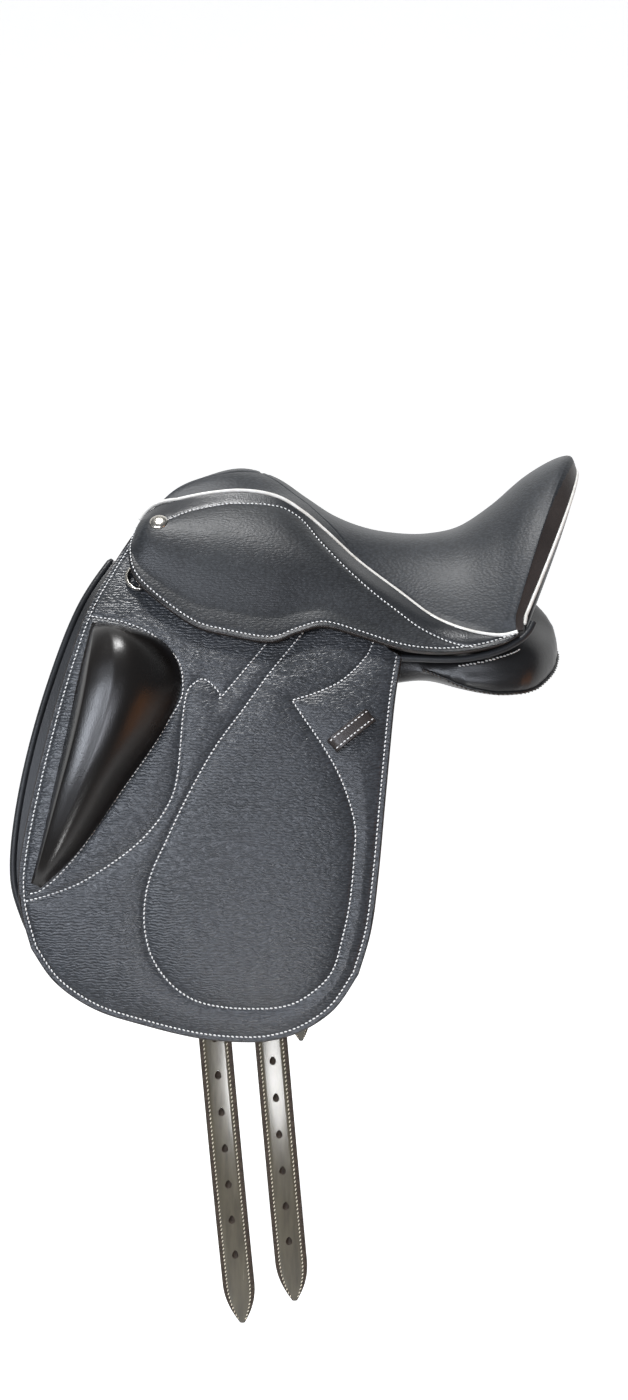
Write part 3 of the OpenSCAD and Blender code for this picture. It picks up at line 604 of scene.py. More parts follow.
# Across a strap, in half widths, and its crown there: bevelled edges, and a groove for the sewing
STRAP_LANES = np.array([-1, -0.97, -0.86, -0.76, -0.71, -0.66, -0.5, 0, 0.5, 0.66, 0.71, 0.76, 0.86, 0.97, 1])
STRAP_CROWN = np.array([-0.95, -0.6, -0.1, -0.02, -0.45, 0, 0.12, 0.22, 0.12, 0, -0.45, -0.02, -0.1, -0.6,
                        -0.95])
SEWN_LANE = 0.71
INKED_LANE = 0.74
SEWN_ENDS = (4, 3)
STRAP_STITCH = (2.5, 1.05, 0.5)
STRAP_STITCH_PITCH = 4.0
STRAP_STITCH_SUNK = 0.25

# Strap butt: hard taupe leather under clear wax, so the light lies on it in long streaks
butt, t, s = finish("waxed_strap_butt", {"Roughness": 0.26, "IOR": 1.5, "Coat Weight": 0.35,
                                         "Coat Roughness": 0.12})
at = add(t, "TexCoord")
fibre = add(t, "Mapping", {"Scale": (per(5), per(5), per(40))}, {"Vector": at.outputs["Object"]})
streak = add(t, "TexNoise", {"Scale": 1.0, "Detail": 4.0}, {"Vector": fibre.outputs[0]})
grain = add(t, "TexNoise", {"Scale": per(0.9), "Detail": 2.0}, {"Vector": at.outputs["Object"]})
tone = add(t, "ValToRGB", {"stops": [(0.3, "#433e33"), (0.7, "#565041")]}, {"Fac": streak.outputs[0]})
wax = add(t, "MapRange", {"To Min": 0.18, "To Max": 0.3}, {"Value": streak.outputs[0]})
pores = add(t, "Bump", {"Strength": 0.12, "Distance": 0.0002}, {"Height": grain.outputs[0]})
t.links.new(tone.outputs[0], s.inputs["Base Color"])
t.links.new(wax.outputs[0], s.inputs["Roughness"])
t.links.new(pores.outputs[0], s.inputs["Normal"])

# Strap edge: bevelled and rubbed with wax, duller than the face, with the fibres of the butt showing brown
butt_edge = mottled("waxed_butt_edge", {"Roughness": 0.6, "Specular IOR Level": 0.2}, 3, 3.0,
                    [(0.3, "#2c2520"), (0.7, "#4b4138")])

# Strap thread: waxed polyester, cream against the taupe
cream_thread = mottled("cream_thread", {"Roughness": 0.6, "Sheen Weight": 0.2}, 0.8, 2.0,
                       [(0.25, "#c2b79d"), (0.6, "#e6ddc8")])


def punch(made, cutters):
    """Cuts holes through a piece; the walls take the cutter's material index."""
    cut = made.modifiers.new("holes", "BOOLEAN")
    cut.object, cut.operation, cut.solver = cutters, "DIFFERENCE", "EXACT"
    graph = bpy.context.evaluated_depsgraph_get()
    made.data = bpy.data.meshes.new_from_object(made.evaluated_get(graph))
    made.modifiers.clear()
    made.data.set_sharp_from_angle(angle=math.radians(40))
    bpy.data.objects.remove(cutters)


for name, (hem_x, tip, last) in STRAPS.items():
    half = STRAP_WIDTH / 2
    rows = np.concatenate([STRAP_TOP + half * (1 - np.cos(np.linspace(0, math.pi / 2, 9))),
                           np.linspace(STRAP_TOP + half + 3, tip - STRAP_POINT, 200),
                           tip - STRAP_POINT * (1 - np.linspace(0.06, 1, 22) ** 0.8)])
    into_top = np.clip(STRAP_TOP + half - rows, 0, half)
    into_tip = np.clip((rows - tip + STRAP_POINT) / STRAP_POINT, 0, 1)
    wide = np.where(into_top > 0, np.maximum(np.sqrt(half ** 2 - into_top ** 2), 2),
                    STRAP_TIP_HALF + (half - STRAP_TIP_HALF) * (1 - into_tip ** 2.1))
    centre = hem_x + STRAP_LEAN * (rows - STRAP_HEM)
    flat = np.stack([centre[:, None] + STRAP_LANES * wide[:, None],
                     np.broadcast_to(rows[:, None], (len(rows), len(STRAP_LANES)))], -1)
    top, _ = hang(flat, STRAP_OFF + STRAP_THICK / 2 + STRAP_CROWN)
    under, _ = hang(flat, STRAP_OFF - STRAP_THICK / 2 - STRAP_CROWN)
    holes = []
    for i in range(HOLE_COUNT):
        down = tip - last - i * HOLE_PITCH
        turn = np.linspace(0, 2 * math.pi, 24, endpoint=False)
        pear = HOLE_PEAR[0] + HOLE_PEAR[1] * np.maximum(-np.sin(turn), 0) ** 3
        middle_x = hem_x + STRAP_LEAN * (down - STRAP_HEM)
        holes.append([hang(np.stack([middle_x + r * np.cos(turn), down + drop + r * pear * np.sin(turn)], -1),
                           STRAP_OFF + o)[0] for o, r, drop in HOLE_SLANT])
    line = np.interp(np.linspace(0, 1, 400), np.linspace(0, 1, len(rows)), rows)
    side_x = np.interp(line, rows, wide)
    edges = []
    for e in (-1, 1):
        off_centre = e * np.maximum(SEWN_LANE * side_x, 0.4)
        lane = np.stack([hem_x + STRAP_LEAN * (line - STRAP_HEM) + off_centre, line], -1)
        edges.append(lane[(line > STRAP_TOP + SEWN_ENDS[0]) & (line < tip - SEWN_ENDS[1])])
    for side, k in SIDES.items():
        made = slab(f"girth_strap_{name}_{side}", top, under, [butt, butt_edge], k, 0.6,
                    np.abs(STRAP_LANES[1:] + STRAP_LANES[:-1]) / 2 > INKED_LANE)
        rings = [tube(np.array(h)) for h in holes]
        starts = np.cumsum([0] + [len(p) for p, _ in rings])
        cutter = piece("punches", np.concatenate([p for p, _ in rings]),
                       [tuple(i + b for i in f) for b, (_, fs) in zip(starts, rings) for f in fs],
                       [butt, butt_edge], k, np.ones(sum(len(f) for _, f in rings), int), smooth=False)
        punch(made, cutter)
        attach(made, f"strap_{name}_{side}")
        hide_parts(f"strap_{name}_{side}", f"strap_head_{name}_{side}")
        seams = []
        for lane in edges:
            flat_spots, _ = even_steps(lane, STRAP_STITCH_PITCH)
            for face in (1, -1):
                spots, out = hang(flat_spots, STRAP_OFF + face * (STRAP_THICK / 2 - STRAP_STITCH_SUNK))
                seams.append((spots, unit(np.gradient(spots, axis=0)), out * face))
        points, faces = stitches(seams, *STRAP_STITCH)
        piece(f"girth_strap_stitching_{name}_{side}", points, faces, [cream_thread], k,
              body=f"strap_{name}_{side}")


# Flaps: the large outer leathers under the rider's leg, thick hide with a second, padded hide sewn over it.
# Rows of white stitching mark out the leg panel, and the edges are inked. They fold up under the skirt.
FLAP_THICK = 5
FLAP_FRONT = [(-186, 24), (-206, 68), (-225, 112), (-244, 181), (-262, 262), (-277, 346), (-278, 392),
              (-266, 437)]
FLAP_HEM = [(-266, 437), (-243, 469), (-206, 494), (-160, 509), (-110, 521), (-68, 525), (-38, 523), (-8, 513),
            (20, 493), (42, 461)]
FLAP_REAR = [(86, 158), (78, 206), (69, 290), (61, 370), (54, 420), (42, 461)]
FLAP_HEAD = [(-186, 24), (-150, 8), (-60, 8), (0, 48), (46, 124), (86, 158)]
SEAM_INSET = 5.5
DEE_REST = (-172, 92, 28)
BLOCK_SEAM = [(-220, 117), (-191, 122), (-163, 133), (-145, 148), (-131, 165), (-127, 186), (-129, 202),
              (-142, 226), (-159, 255), (-180, 285), (-201, 316), (-222, 347), (-243, 371), (-258, 383),
              (-268, 386)]
CURL_SEAM = [(-97, 188), (-107, 181), (-117, 186), (-123, 195), (-126, 216), (-128, 247), (-130, 273),
             (-135, 295), (-148, 318), (-168, 340), (-193, 359), (-221, 376), (-250, 387), (-272, 393)]
CURL_SPUR = [(-36, 132), (-48, 147), (-88, 197), (-91, 195), (-97, 188)]
LEG_SEAM = [(-5, 126), (-14, 138), (-43, 175), (-69, 212), (-96, 250), (-122, 298), (-140, 337), (-153, 366),
            (-159, 392), (-159, 419), (-152, 445), (-136, 468), (-114, 484), (-88, 491), (-54, 493), (-25, 490),
            (-2, 478), (17, 458), (27, 426), (34, 392), (38, 352), (39, 324), (33, 298), (23, 272), (7, 244),
            (-10, 219), (-21, 202)]
LEG_SPUR = [(-21, 202), (1, 195), (23, 185), (39, 172), (51, 158), (57, 146), (60, 138)]
# Padding between the seams: its height under the skirt, what it gains lower down and where, and the distance
# from a seam in which it fills out
PAD_HEIGHT = 1.25
PAD_GAIN = 2.2
PAD_FROM = 150
PAD_OVER = 60
PAD_REACH = 12
DEE_FADE = 16
MARGIN_HEIGHT = 0.25
GROOVE_DEEP = 0.8
GROOVE_WIDE = 1.6
STITCH_PITCH = 4.2
STITCH_SUNK = 0.35
FLAP_STITCH = (2.8, 1.45, 0.22)
# A place in the pattern by the line that a flap folds about
FOLD_AT = (-70, 140)

# Flap leather: black hide with a wavy print along the horse and a satin sheen. Its pebbles are about 1.7 mm
# high and 3 mm long, drawn half as large again so that they show
flap_hide = leather("pebbled_flap_hide", "#313438", "#3d4045", grain=2.6, depth=0.5, rough=0.35,
                    stretch=(1.8, 1.3, 1.0), painted_crease_shade=0.38, drawn=0.45)

# Thread: twisted polyester, white on top of the black leathers, with a slight shine and the twist showing
thread = mottled("white_thread", {"Roughness": 0.55, "Sheen Weight": 0.2}, 0.8, 2.0,
                 [(0.25, "#cfd0d0"), (0.6, "#f4f4f1")])


def inset_line(line, inset):
    """A line drawn beside another in the pattern, to the left of its run."""
    ahead = unit(np.gradient(line, axis=0))
    return line + np.stack([ahead[:, 1], -ahead[:, 0]], 1) * inset


def beside(points, line):
    """Distance of pattern points from a line."""
    best = np.full(points.shape[:-1], 1e9)
    for a, b in zip(line[:-1], line[1:]):
        d = b - a
        k = np.clip(((points - a) @ d) / max(d @ d, 1e-9), 0, 1)
        best = np.minimum(best, np.linalg.norm(points - a - k[..., None] * d, axis=-1))
    return best


rim_line = np.concatenate([spread(FLAP_FRONT, 160)[:-1], spread(FLAP_HEM, 160),
                           spread(FLAP_REAR, 140)[-2::-1]])
flap_seams = [inset_line(rim_line, SEAM_INSET), spread(BLOCK_SEAM, 180), spread(CURL_SEAM, 160),
              spread(CURL_SPUR, 60), spread(LEG_SEAM, 320), spread(LEG_SPUR, 60)]
pattern = patch(FLAP_FRONT, FLAP_REAR, FLAP_HEAD, FLAP_HEM, 230, 170)
gap = np.min([beside(pattern, line) for line in flap_seams], 0)
margin = beside(pattern, rim_line) < SEAM_INSET
full = PAD_HEIGHT + PAD_GAIN * np.clip((pattern[..., 1] - PAD_FROM) / PAD_OVER, 0, 1)
full *= np.clip((np.linalg.norm(pattern - DEE_REST[:2], axis=-1) - DEE_REST[2]) / DEE_FADE, 0, 1)
puff = np.where(margin, MARGIN_HEIGHT, full * (1 - np.exp(-gap / PAD_REACH)))
puff -= GROOVE_DEEP * np.exp(-(gap / GROOVE_WIDE) ** 2)
top, _ = hang(pattern, FLAP_THICK / 2 + puff)
under, _ = hang(pattern, -FLAP_THICK / 2)


_, fold_out = hang(np.array([FOLD_AT]), 0)


def bend_with(made):
    """Bakes a piece's placement into its mesh."""
    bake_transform(made)


for side, k in SIDES.items():
    made = slab("flap_leather_" + side, top, under, [flap_hide, edge_ink], k, 1.3)
    bend_with(made)
    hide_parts("flap_" + side, "flap_top_" + side)
    seams = []
    for line in flap_seams:
        flat_spots, flat_ahead = even_steps(line, STITCH_PITCH)
        spots, out = hang(flat_spots, FLAP_THICK / 2 - STITCH_SUNK)
        ahead = unit(hang(flat_spots + flat_ahead, 0)[0] - hang(flat_spots, 0)[0])
        seams.append((spots, ahead, out))
    points, faces = stitches(seams, *FLAP_STITCH)
    sewn = piece("flap_stitching_" + side, points, faces, [thread], k)
    bend_with(sewn)


# Knee blocks: firm foam wedges sewn on the flaps under smooth black calf, pulled tight so that it shines.
# The front wall is steep, to hold the rider's knee, and the back slopes away under the leg.
BLOCK_FRONT = [(-216, 124), (-228, 186), (-241, 254), (-254, 322), (-265, 376)]
BLOCK_REAR = [(-204, 124), (-150, 142), (-129, 180), (-142, 226), (-180, 285), (-221, 345), (-257, 380)]
BLOCK_ALONG = [0, 0.6, 0.92, 1, 0.97, 0.89, 0.78, 0.64, 0.48, 0.28, 0]
BLOCK_HEIGHT = 46
BLOCK_HEM = 2
# Across the block, from its front wall to its rear: the share of its width and of its height
BLOCK_SECTION = [(0, 0), (0.05, 0.3), (0.11, 0.62), (0.165, 0.83), (0.205, 0.895), (0.3, 0.955), (0.4, 0.99),
                 (0.48, 1), (0.6, 0.94), (0.72, 0.77), (0.84, 0.5), (0.94, 0.22), (1, 0)]
BLOCK_BASE = FLAP_THICK / 2 + LIE
BLOCK_SUNK = 1.2
BLOCK_LAP = [(-2.6, 0.3), (-1.3, 1.4)]  # the calf's lap ahead of the front wall, and its height there

# Block calf: smooth, close-grained and polished, nearly black with a brown undertone
block_calf = leather("polished_block_calf", "#0b0908", "#130f0c", grain=1.6, depth=0.04, rough=0.28,
                     painted_crease_shade=0.85)

spots = np.linspace(0, 1, 90)
c, form = through(BLOCK_SECTION, np.linspace(0, 1, 72)).T
front, rear = through(BLOCK_FRONT, spots)[:, None], through(BLOCK_REAR, spots)[:, None]
rise = BLOCK_HEM + (BLOCK_HEIGHT - BLOCK_HEM) * through(np.array(BLOCK_ALONG), spots)[:, None] * form
flat = front + (rear - front) * c[None, :, None]
lap, lap_rise = np.array(BLOCK_LAP).T
flat = np.concatenate([front + np.stack([lap, 0 * lap], -1), flat], 1)
rise = np.concatenate([np.broadcast_to(lap_rise, (len(spots), len(lap))), rise], 1)
top, _ = hang(flat, BLOCK_BASE + rise)
under, _ = hang(flat, BLOCK_BASE - BLOCK_SUNK)
for side, k in SIDES.items():
    made = slab("knee_block_calf_" + side, top, under, [block_calf, block_calf], k, 0.3)
    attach(made, "flap_" + side)
    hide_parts("knee_block_" + side)


# Keepers: narrow leather loops, let into slots in the flaps, that hold the ends of the stirrup leathers.
# Each is doubled and sewn along both edges in white.
KEEPER_AT = (36, 232)
KEEPER_TURN = math.radians(39)
KEEPER_WIDTH = 15
KEEPER_THICK = 3
KEEPER_ARCH = [(-22.6, -1), (-22.8, 2.6), (-21.6, 5.6), (-18.4, 7.4), (-12, 8.1), (-6, 8.4), (0, 8.5), (6, 8.4),
               (12, 8.1), (18.4, 7.4), (21.6, 5.6), (22.8, 2.6), (22.6, -1)]
KEEPER_SEAM = 4.6
KEEPER_SEWN = slice(5, -5)
KEEPER_STITCH = (2.8, 1.3, 0.1)
KEEPER_STITCH_SUNK = 0.1
BAND_LANES = 9

# Keeper leather: greased bridle hide, smooth, its black gone a little brown with handling. On the seat's band
# behind the ridge its brown is a painted warm reflection
keeper_hide_and_band_reflection = leather("keeper_bridle_hide_and_band_reflection", "#2a2523", "#39322f", grain=1.2, depth=0.08, rough=0.36,
                      painted_crease_shade=0.85)


def frame_at(pattern, off, turn=0.0):
    """Axes on the hanging leather: a point, along the leather (turned), across it, and out of it."""
    point, out = (a[0] for a in hang(np.array([pattern], float), off))
    down = np.array([0, out[2], -out[1]])
    run = math.cos(turn) * np.array([1.0, 0, 0]) - math.sin(turn) * down
    return point, run, np.cross(out, run), out


def band(path, width, thick, point, run, side_way, out, name, materials, k, round_edge=0.5):
    """A strap of leather bent along a path of (along, out) places, as wide as given."""
    normal = unit(np.gradient(path, axis=0))[:, ::-1] * (-1, 1)
    wide = np.linspace(-width / 2, width / 2, BAND_LANES)
    grids = []
    for o in (thick / 2, -thick / 2):
        line = path + normal * o
        lane = point + line[:, :1] * run + line[:, 1:] * out
        grids.append(lane[:, None] + wide[None, :, None] * side_way)
    return slab(name, grids[0], grids[1], materials, k, round_edge)


point, run, side_way, out = frame_at(KEEPER_AT, FLAP_THICK / 2 + LIE, KEEPER_TURN)
path = spread(KEEPER_ARCH, 48)
for side, k in SIDES.items():
    made = band(path, KEEPER_WIDTH, KEEPER_THICK, point, run, side_way, out, "keeper_loop_" + side,
                [keeper_hide_and_band_reflection, edge_ink], k)
    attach(made, "flap_" + side)
    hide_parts("keeper_" + side)
    seams = []
    for o in (-KEEPER_SEAM, KEEPER_SEAM):
        flat_spots, flat_ahead = even_steps(path[KEEPER_SEWN], STITCH_PITCH)
        normal = flat_ahead[:, ::-1] * (-1, 1)
        line = flat_spots + normal * (KEEPER_THICK / 2 - KEEPER_STITCH_SUNK)
        seams.append((point + line[:, :1] * run + line[:, 1:] * out + o * side_way,
                      flat_ahead[:, :1] * run + flat_ahead[:, 1:] * out,
                      normal[:, :1] * run + normal[:, 1:] * out))
    points, faces = stitches(seams, *KEEPER_STITCH)
    piece("keeper_stitching_" + side, points, faces, [thread], k, body="flap_" + side)


# Stirrup bars: forged steel, riveted through the flap tops to the tree. The leather slides over the open end,
# where a catch on a pin closes it and opens under a hard pull.

# Bar steel: forged and brushed, with grey patches where the scale was
forged = mottled("forged_bar_steel", {"Metallic": 1.0, "Roughness": 0.34}, 7, 4.0,
                 [(0.3, "#8a8d90"), (0.7, "#b2b5b8")], rough=(0.26, 0.46))
for side in SIDES:
    dress(forged, "stirrup_bar_" + side, "bar_rivets_" + side, "bar_catch_" + side, "catch_pin_" + side)


# Dees: nickel-plated wire rings ahead of the skirts, for a breastplate. Each turns in a chape, a strip of
# lining hide that is looped round the ring's straight side and sewn to the flap.
DEE_AT = (-172, 76)
CHAPE_R = 3.95
CHAPE_THICK = 1.6
CHAPE_WIDTH = 16
CHAPE_LONG = 26
CHAPE_TURN = (-90, -395)

# Nickel plate: polished, a little warm, with fine rubbed marks
nickel = mottled("polished_nickel", {"Metallic": 1.0, "Roughness": 0.2}, 2.5, 4.0,
                 [(0.3, "#b3aea5"), (0.7, "#d0ccc4")], rough=(0.14, 0.3))

turn = np.radians(np.linspace(*CHAPE_TURN, 40))
core = CHAPE_R - CHAPE_THICK / 2
loop = np.stack([core * np.cos(turn), CHAPE_R + core * np.sin(turn)], -1)
tail = np.stack([np.linspace(CHAPE_LONG, 1, 16), np.full(16, CHAPE_THICK / 2)], -1)
point, run, side_way, out = frame_at(DEE_AT, FLAP_THICK / 2 + LIE)
for side, k in SIDES.items():
    dress(nickel, "dee_" + side)
    made = band(np.concatenate([tail, loop])[::-1], CHAPE_WIDTH, CHAPE_THICK, point, run, side_way, out,
                "dee_chape_leather_" + side, [flap_lining, edge_ink], k, round_edge=0.3)
    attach(made, "saddle")
    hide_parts("dee_chape_" + side)


# Seat: one large hide of soft black leather, blocked wet over the foam so that it has no wrinkle, with a
# separate pommel piece let in over the head and a hard ridge where it turns down behind the cantle.
# Under its front edge a narrow facing of lining hide closes the pommel.
COVER_EDGE = 0.975
SEAT_SEAM = [(-178, 74, 107), (-168, 71, 119), (-150, 67, 129), (-110, 62, 138), (-72, 60, 141),
             (-38, 62, 135), (-12, 66, 120), (12, 71, 100), (45, 81, 70), (83, 98, 42), (118, 118, 17),
             (150, 135, 5), (180, 145, 1), (198, 148, 5)]
SEAM_TUCK = (3.2, 0.6)
TUCK_ROWS = 6
# Seams across the seat: the place on its centre line and the slope to its edge; the pommel's is a pair
POMMEL_SEAM = (0.238, -0.23)
TWIST_SEAM = (0.098, 0.335)
SEAM_JOIN = 0.25
SEAM_PAIR = 0.012
SEAM_DEEP = 0.9
PAIR_DEEP = 0.6
SEAM_WIDE = 1.7
RIDGE = 13 / 14
RIDGE_HEIGHT = 1.7
RIDGE_REACH = 6
SEAT_LONG = 470
# The band behind the ridge: its start, and how much later it starts in the middle
BAND_START = 0.004
BAND_FADE = 0.035
# Fullness of the pommel: its height, then its place and reach along the seat and across it
POMMEL_FULL = (4.5, 0.04, 0.09, 0.7, 0.24)

# Seat leather: soft hide drawn tight while wet, so that its fine grain is stretched along the horse and nearly
# matt. The band behind the ridge is a strip of the keepers' smoother hide, whose brown is a painted warm
# reflection
seat_hide = leather("drawn_seat_hide", "#272a2e", "#323539", grain=2.0, depth=0.16, rough=0.46,
                    stretch=(1.8, 1.5, 1.0), specular=0.4, painted_crease_shade=0.6)

u, v = np.meshgrid(np.linspace(0, 1, 281), np.linspace(-COVER_EDGE, COVER_EDGE, 180), indexing="ij")
a = np.abs(v)
lift = RIDGE_HEIGHT * np.exp(-np.abs(u - RIDGE) * SEAT_LONG / RIDGE_REACH) * np.clip(2.2 * a - 0.3, 0, 1)
seat_seams = [(*POMMEL_SEAM, SEAM_DEEP), (POMMEL_SEAM[0] + SEAM_PAIR, POMMEL_SEAM[1], PAIR_DEEP),
              (*TWIST_SEAM, SEAM_DEEP)]
for start, slope, deep in seat_seams:
    lift -= deep * np.exp(-((u - start - slope * np.maximum(a, SEAM_JOIN)) * SEAT_LONG / SEAM_WIDE) ** 2)
high, at_u, wide_u, at_a, wide_a = POMMEL_FULL
lift += high * np.exp(-((u - at_u) / wide_u) ** 2 - ((a - at_a) / wide_a) ** 2)
out = seat_up(u, v)
top = seat(u, v) + out * lift[..., None]
seam_line = through(SEAT_SEAM, np.linspace(0, 1, 400))
tucks = []
for edge, way in ((top[:, 0], -1), (top[:, -1], 1)):
    wide, high = (np.interp(edge[:, 0], seam_line[:, 0], seam_line[:, c]) for c in (1, 2))
    foot = np.stack([edge[:, 0], way * (wide - SEAM_TUCK[0]), high + SEAM_TUCK[1]], -1)
    tucks.append(edge[:, None] + (foot - edge)[:, None] * np.linspace(0, 1, TUCK_ROWS + 1)[None, 1:, None])
top = np.concatenate([tucks[0][:, ::-1], top, tucks[1]], 1)
out = np.pad(out, ((0, 0), (TUCK_ROWS, TUCK_ROWS), (0, 0)), "edge")
across = np.pad(a, ((0, 0), (TUCK_ROWS, TUCK_ROWS)), "edge")[1:, 1:]
# The band behind the ridge takes the keepers' brown hide as a painted warm reflection
band_painted_reflection = u[1:, :1] > RIDGE + BAND_START + BAND_FADE * np.clip(1 - 1.6 * across, 0, 1)
made = slab("seat_leather", top, top - out * COVER, [seat_hide, edge_ink, keeper_hide_and_band_reflection], round_edge=0.8,
            marks=np.where(band_painted_reflection, 2, 0))
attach(made, "saddle")
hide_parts("seat_cover")

FACING = 2.5
FACING_DROP = np.array([-1, 0, -24])
r, v = np.meshgrid(np.linspace(0, 1, 14), np.linspace(-TREE_HALF, TREE_HALF, 60), indexing="ij")
front = seat(0 * v, v) - seat_up(0 * v, v) * (COVER + LIE) + r[..., None] * FACING_DROP
made = slab("pommel_facing_leather", front, front + (FACING, 0, 0), [flap_lining, edge_ink], round_edge=0.5)
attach(made, "saddle")
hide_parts("pommel_facing")


# Cantle: a facing of smooth hide closes the back under the ridge, and white piping is sewn in between the two.
# A rolled strip runs on from it along the panel's top, under the end of the skirt.
FACING_FOOT = ((238, 44), (203, -4))
FACING_HALF = 147
FACING_HEAD = (1, 0, -8)
FACING_BOW = 4
CANTLE_EDGE = 0.965
r, v = np.meshgrid(np.linspace(0, 1, 24), np.linspace(-CANTLE_EDGE, CANTLE_EDGE, 110), indexing="ij")
a = np.abs(v)
head = seat(0 * v + 1, v) + FACING_HEAD
(mid_x, mid_z), (end_x, end_z) = FACING_FOOT
foot = np.stack([mid_x + (end_x - mid_x) * a ** 1.9, FACING_HALF * v, mid_z + (end_z - mid_z) * a ** 2], -1)
out = unit(np.stack([1.2 - a, np.sign(v) * a, np.full(v.shape, -0.15)], -1))
bow = (FACING_BOW * np.sin(math.pi * r) * (1 - 0.7 * a))[..., None]
back = head + (foot - head) * r[..., None] + out * bow
made = slab("cantle_facing_leather", back, back - out * FACING, [flap_lining, edge_ink], round_edge=0.6)
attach(made, "saddle")
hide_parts("cantle_facing")

# Piping: thin white patent leather over a cord, with a hard bright line of light along it
piping = mottled("white_patent_piping", {"Roughness": 0.28, "IOR": 1.5, "Coat Weight": 0.3}, 9, 4.0,
                 [(0.3, "#d5d1c8"), (0.65, "#efede8")])

CANTLE_PIPING_R = 1.8
CANTLE_PIPING_BACK = 1.9
CANTLE_PIPING_DOWN = 0.7
CANTLE_PIPING_END = (-1.5, 3.5, -9)
v = np.linspace(-CANTLE_EDGE, CANTLE_EDGE, 200)
end = seat(0 * v + 1, v)
back_way = unit(end - seat(0 * v + 0.97, v))
path = end + back_way * CANTLE_PIPING_BACK - seat_up(0 * v + 1, v) * CANTLE_PIPING_DOWN
foot = path[-1] + np.linspace(0, 1, 6)[1:, None] * CANTLE_PIPING_END
path = np.concatenate([(foot * (1, -1, 1))[::-1], path, foot])
made = cord("cantle_piping_cord", path, CANTLE_PIPING_R, [piping], body="saddle", sides=14)
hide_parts("cantle_piping")

REAR_ROLL = [(78, 141.5, -21), (102, 144.5, -21.5), (128, 147.5, -22), (152, 149, -20.5), (178, 149, -14),
             (197, 147.5, -5), (208, 144.5, 4), (214, 140, 14)]
REAR_ROLL_R = 3.4
ROLL_SEWN = slice(30, 76)
ROLL_SEAM = (0, 1.5, -2.4)
ROLL_STITCH = (2.9, 1.5, 0.4)
path = through(REAR_ROLL, np.linspace(0, 1, 90))
for side, k in SIDES.items():
    made = cord("rear_roll_leather_" + side, path, REAR_ROLL_R, [flap_lining], k, "saddle", sides=14)
    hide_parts("rear_roll_" + side)
    spots, ahead = even_steps(path[ROLL_SEWN] + ROLL_SEAM, STITCH_PITCH)
    spots, normals = onto(skin, spots, LIE)
    points, faces = stitches([(spots, ahead, normals)], *ROLL_STITCH)
    piece("rear_roll_stitching_" + side, points, faces, [thread], k, body="saddle")


# Skirts: small leathers over the stirrup bars, sewn into the seat's seam under white piping. A second hide is
# stitched inside them, and they lift so that the stirrup leather can be put on its bar.
SKIRT_LOW = [(-181, 81, 101), (-184, 110, 77), (-171, 128, 49), (-121, 143, 12), (-84, 148, 1), (-42, 151, -5),
             (-16, 147, 3), (10, 145, 9), (45, 148, 0), (84, 151, -12), (118, 152, -16), (150, 153, -14),
             (182, 152, -7), (199, 150, 2)]
SKIRT_SHARE = [0.02, 0.35, 0.8, 1, 1, 1, 1, 0.9, 0.75, 0.45, 0.2, 0.08, 0.03, 0.01]
SKIRT_BULGE = 15
SKIRT_THICK = 4.5
PIPING_R = 2.2
PIPING_IN = (0, 1.6, 0)
# The piping rises over the pommel's corner: where it starts, over what length, and how far
PIPING_RISE_FROM = -140
PIPING_RISE_OVER = 25
PIPING_RISE = np.array([0, 1.5, 4.2])
SEAM_ROOM = PIPING_R + 1.1
# The rim's seam: where it starts, where it is past the front corner, and where it ends
RIM_RUN = (0.012, 0.2, 0.985)
INNER_SEAM = [(0.175, 0.3), (0.21, 0.18), (0.268, 0.13), (0.315, 0.12), (0.365, 0.1), (0.417, 0.085),
              (0.468, 0.11), (0.52, 0.22), (0.57, 0.315), (0.61, 0.375), (0.647, 0.43), (0.688, 0.475),
              (0.725, 0.54), (0.768, 0.595), (0.81, 0.7), (0.853, 0.83)]
SKIRT_MARGIN = SEAM_INSET - 1
SKIRT_MARGIN_HEIGHT = 0.3
SKIRT_PAD = 1.0
SKIRT_PAD_REACH = 7
SKIRT_GROOVE_DEEP = 0.7
SKIRT_GROOVE_WIDE = 1.4
SKIRT_STITCH = (2.7, 1.4, 0.22)

# Skirt leather: as the flaps', with a finer pebble
skirt_hide = leather("pebbled_skirt_hide", "#282a2d", "#323538", grain=2.2, depth=0.2, rough=0.42,
                     stretch=(1.6, 1.3, 1.0), specular=0.42, drawn=0.3)

# Border leather: smooth and close in its grain, between the seat and the inner seam and behind that seam's end
border_hide = leather("smooth_border_hide", "#1f2124", "#282a2d", grain=1.6, depth=0.12, rough=0.32,
                      painted_crease_shade=0.85)


def skirt(u, v, off):
    """A point of the skirt: u from front to rear, v from the seat's seam to the lower edge."""
    top, low = through(SEAT_SEAM, u), through(SKIRT_LOW, u)
    d = unit((low - top) * (0, 1, 1))
    swell = SKIRT_BULGE * through(np.array(SKIRT_SHARE), u) * np.sin(math.pi * np.minimum(v / 0.85, 1)) ** 1.3
    out = np.stack([0 * u, -d[..., 2], d[..., 1]], -1)
    return top + (low - top) * v[..., None] + out * (swell + off)[..., None]


def skirt_out(u, v):
    """The skirt's normal, away from the horse."""
    h = 0.004
    along = skirt(u + h, v, 0 * u) - skirt(u - h, v, 0 * u)
    down = skirt(u, v + h, 0 * u) - skirt(u, v - h, 0 * u)
    return unit(np.cross(along, down))


def skirt_drop(u):
    """The distance from the seat's seam to the skirt's lower edge."""
    return np.linalg.norm(through(SKIRT_LOW, u) - through(SEAT_SEAM, u), axis=-1)


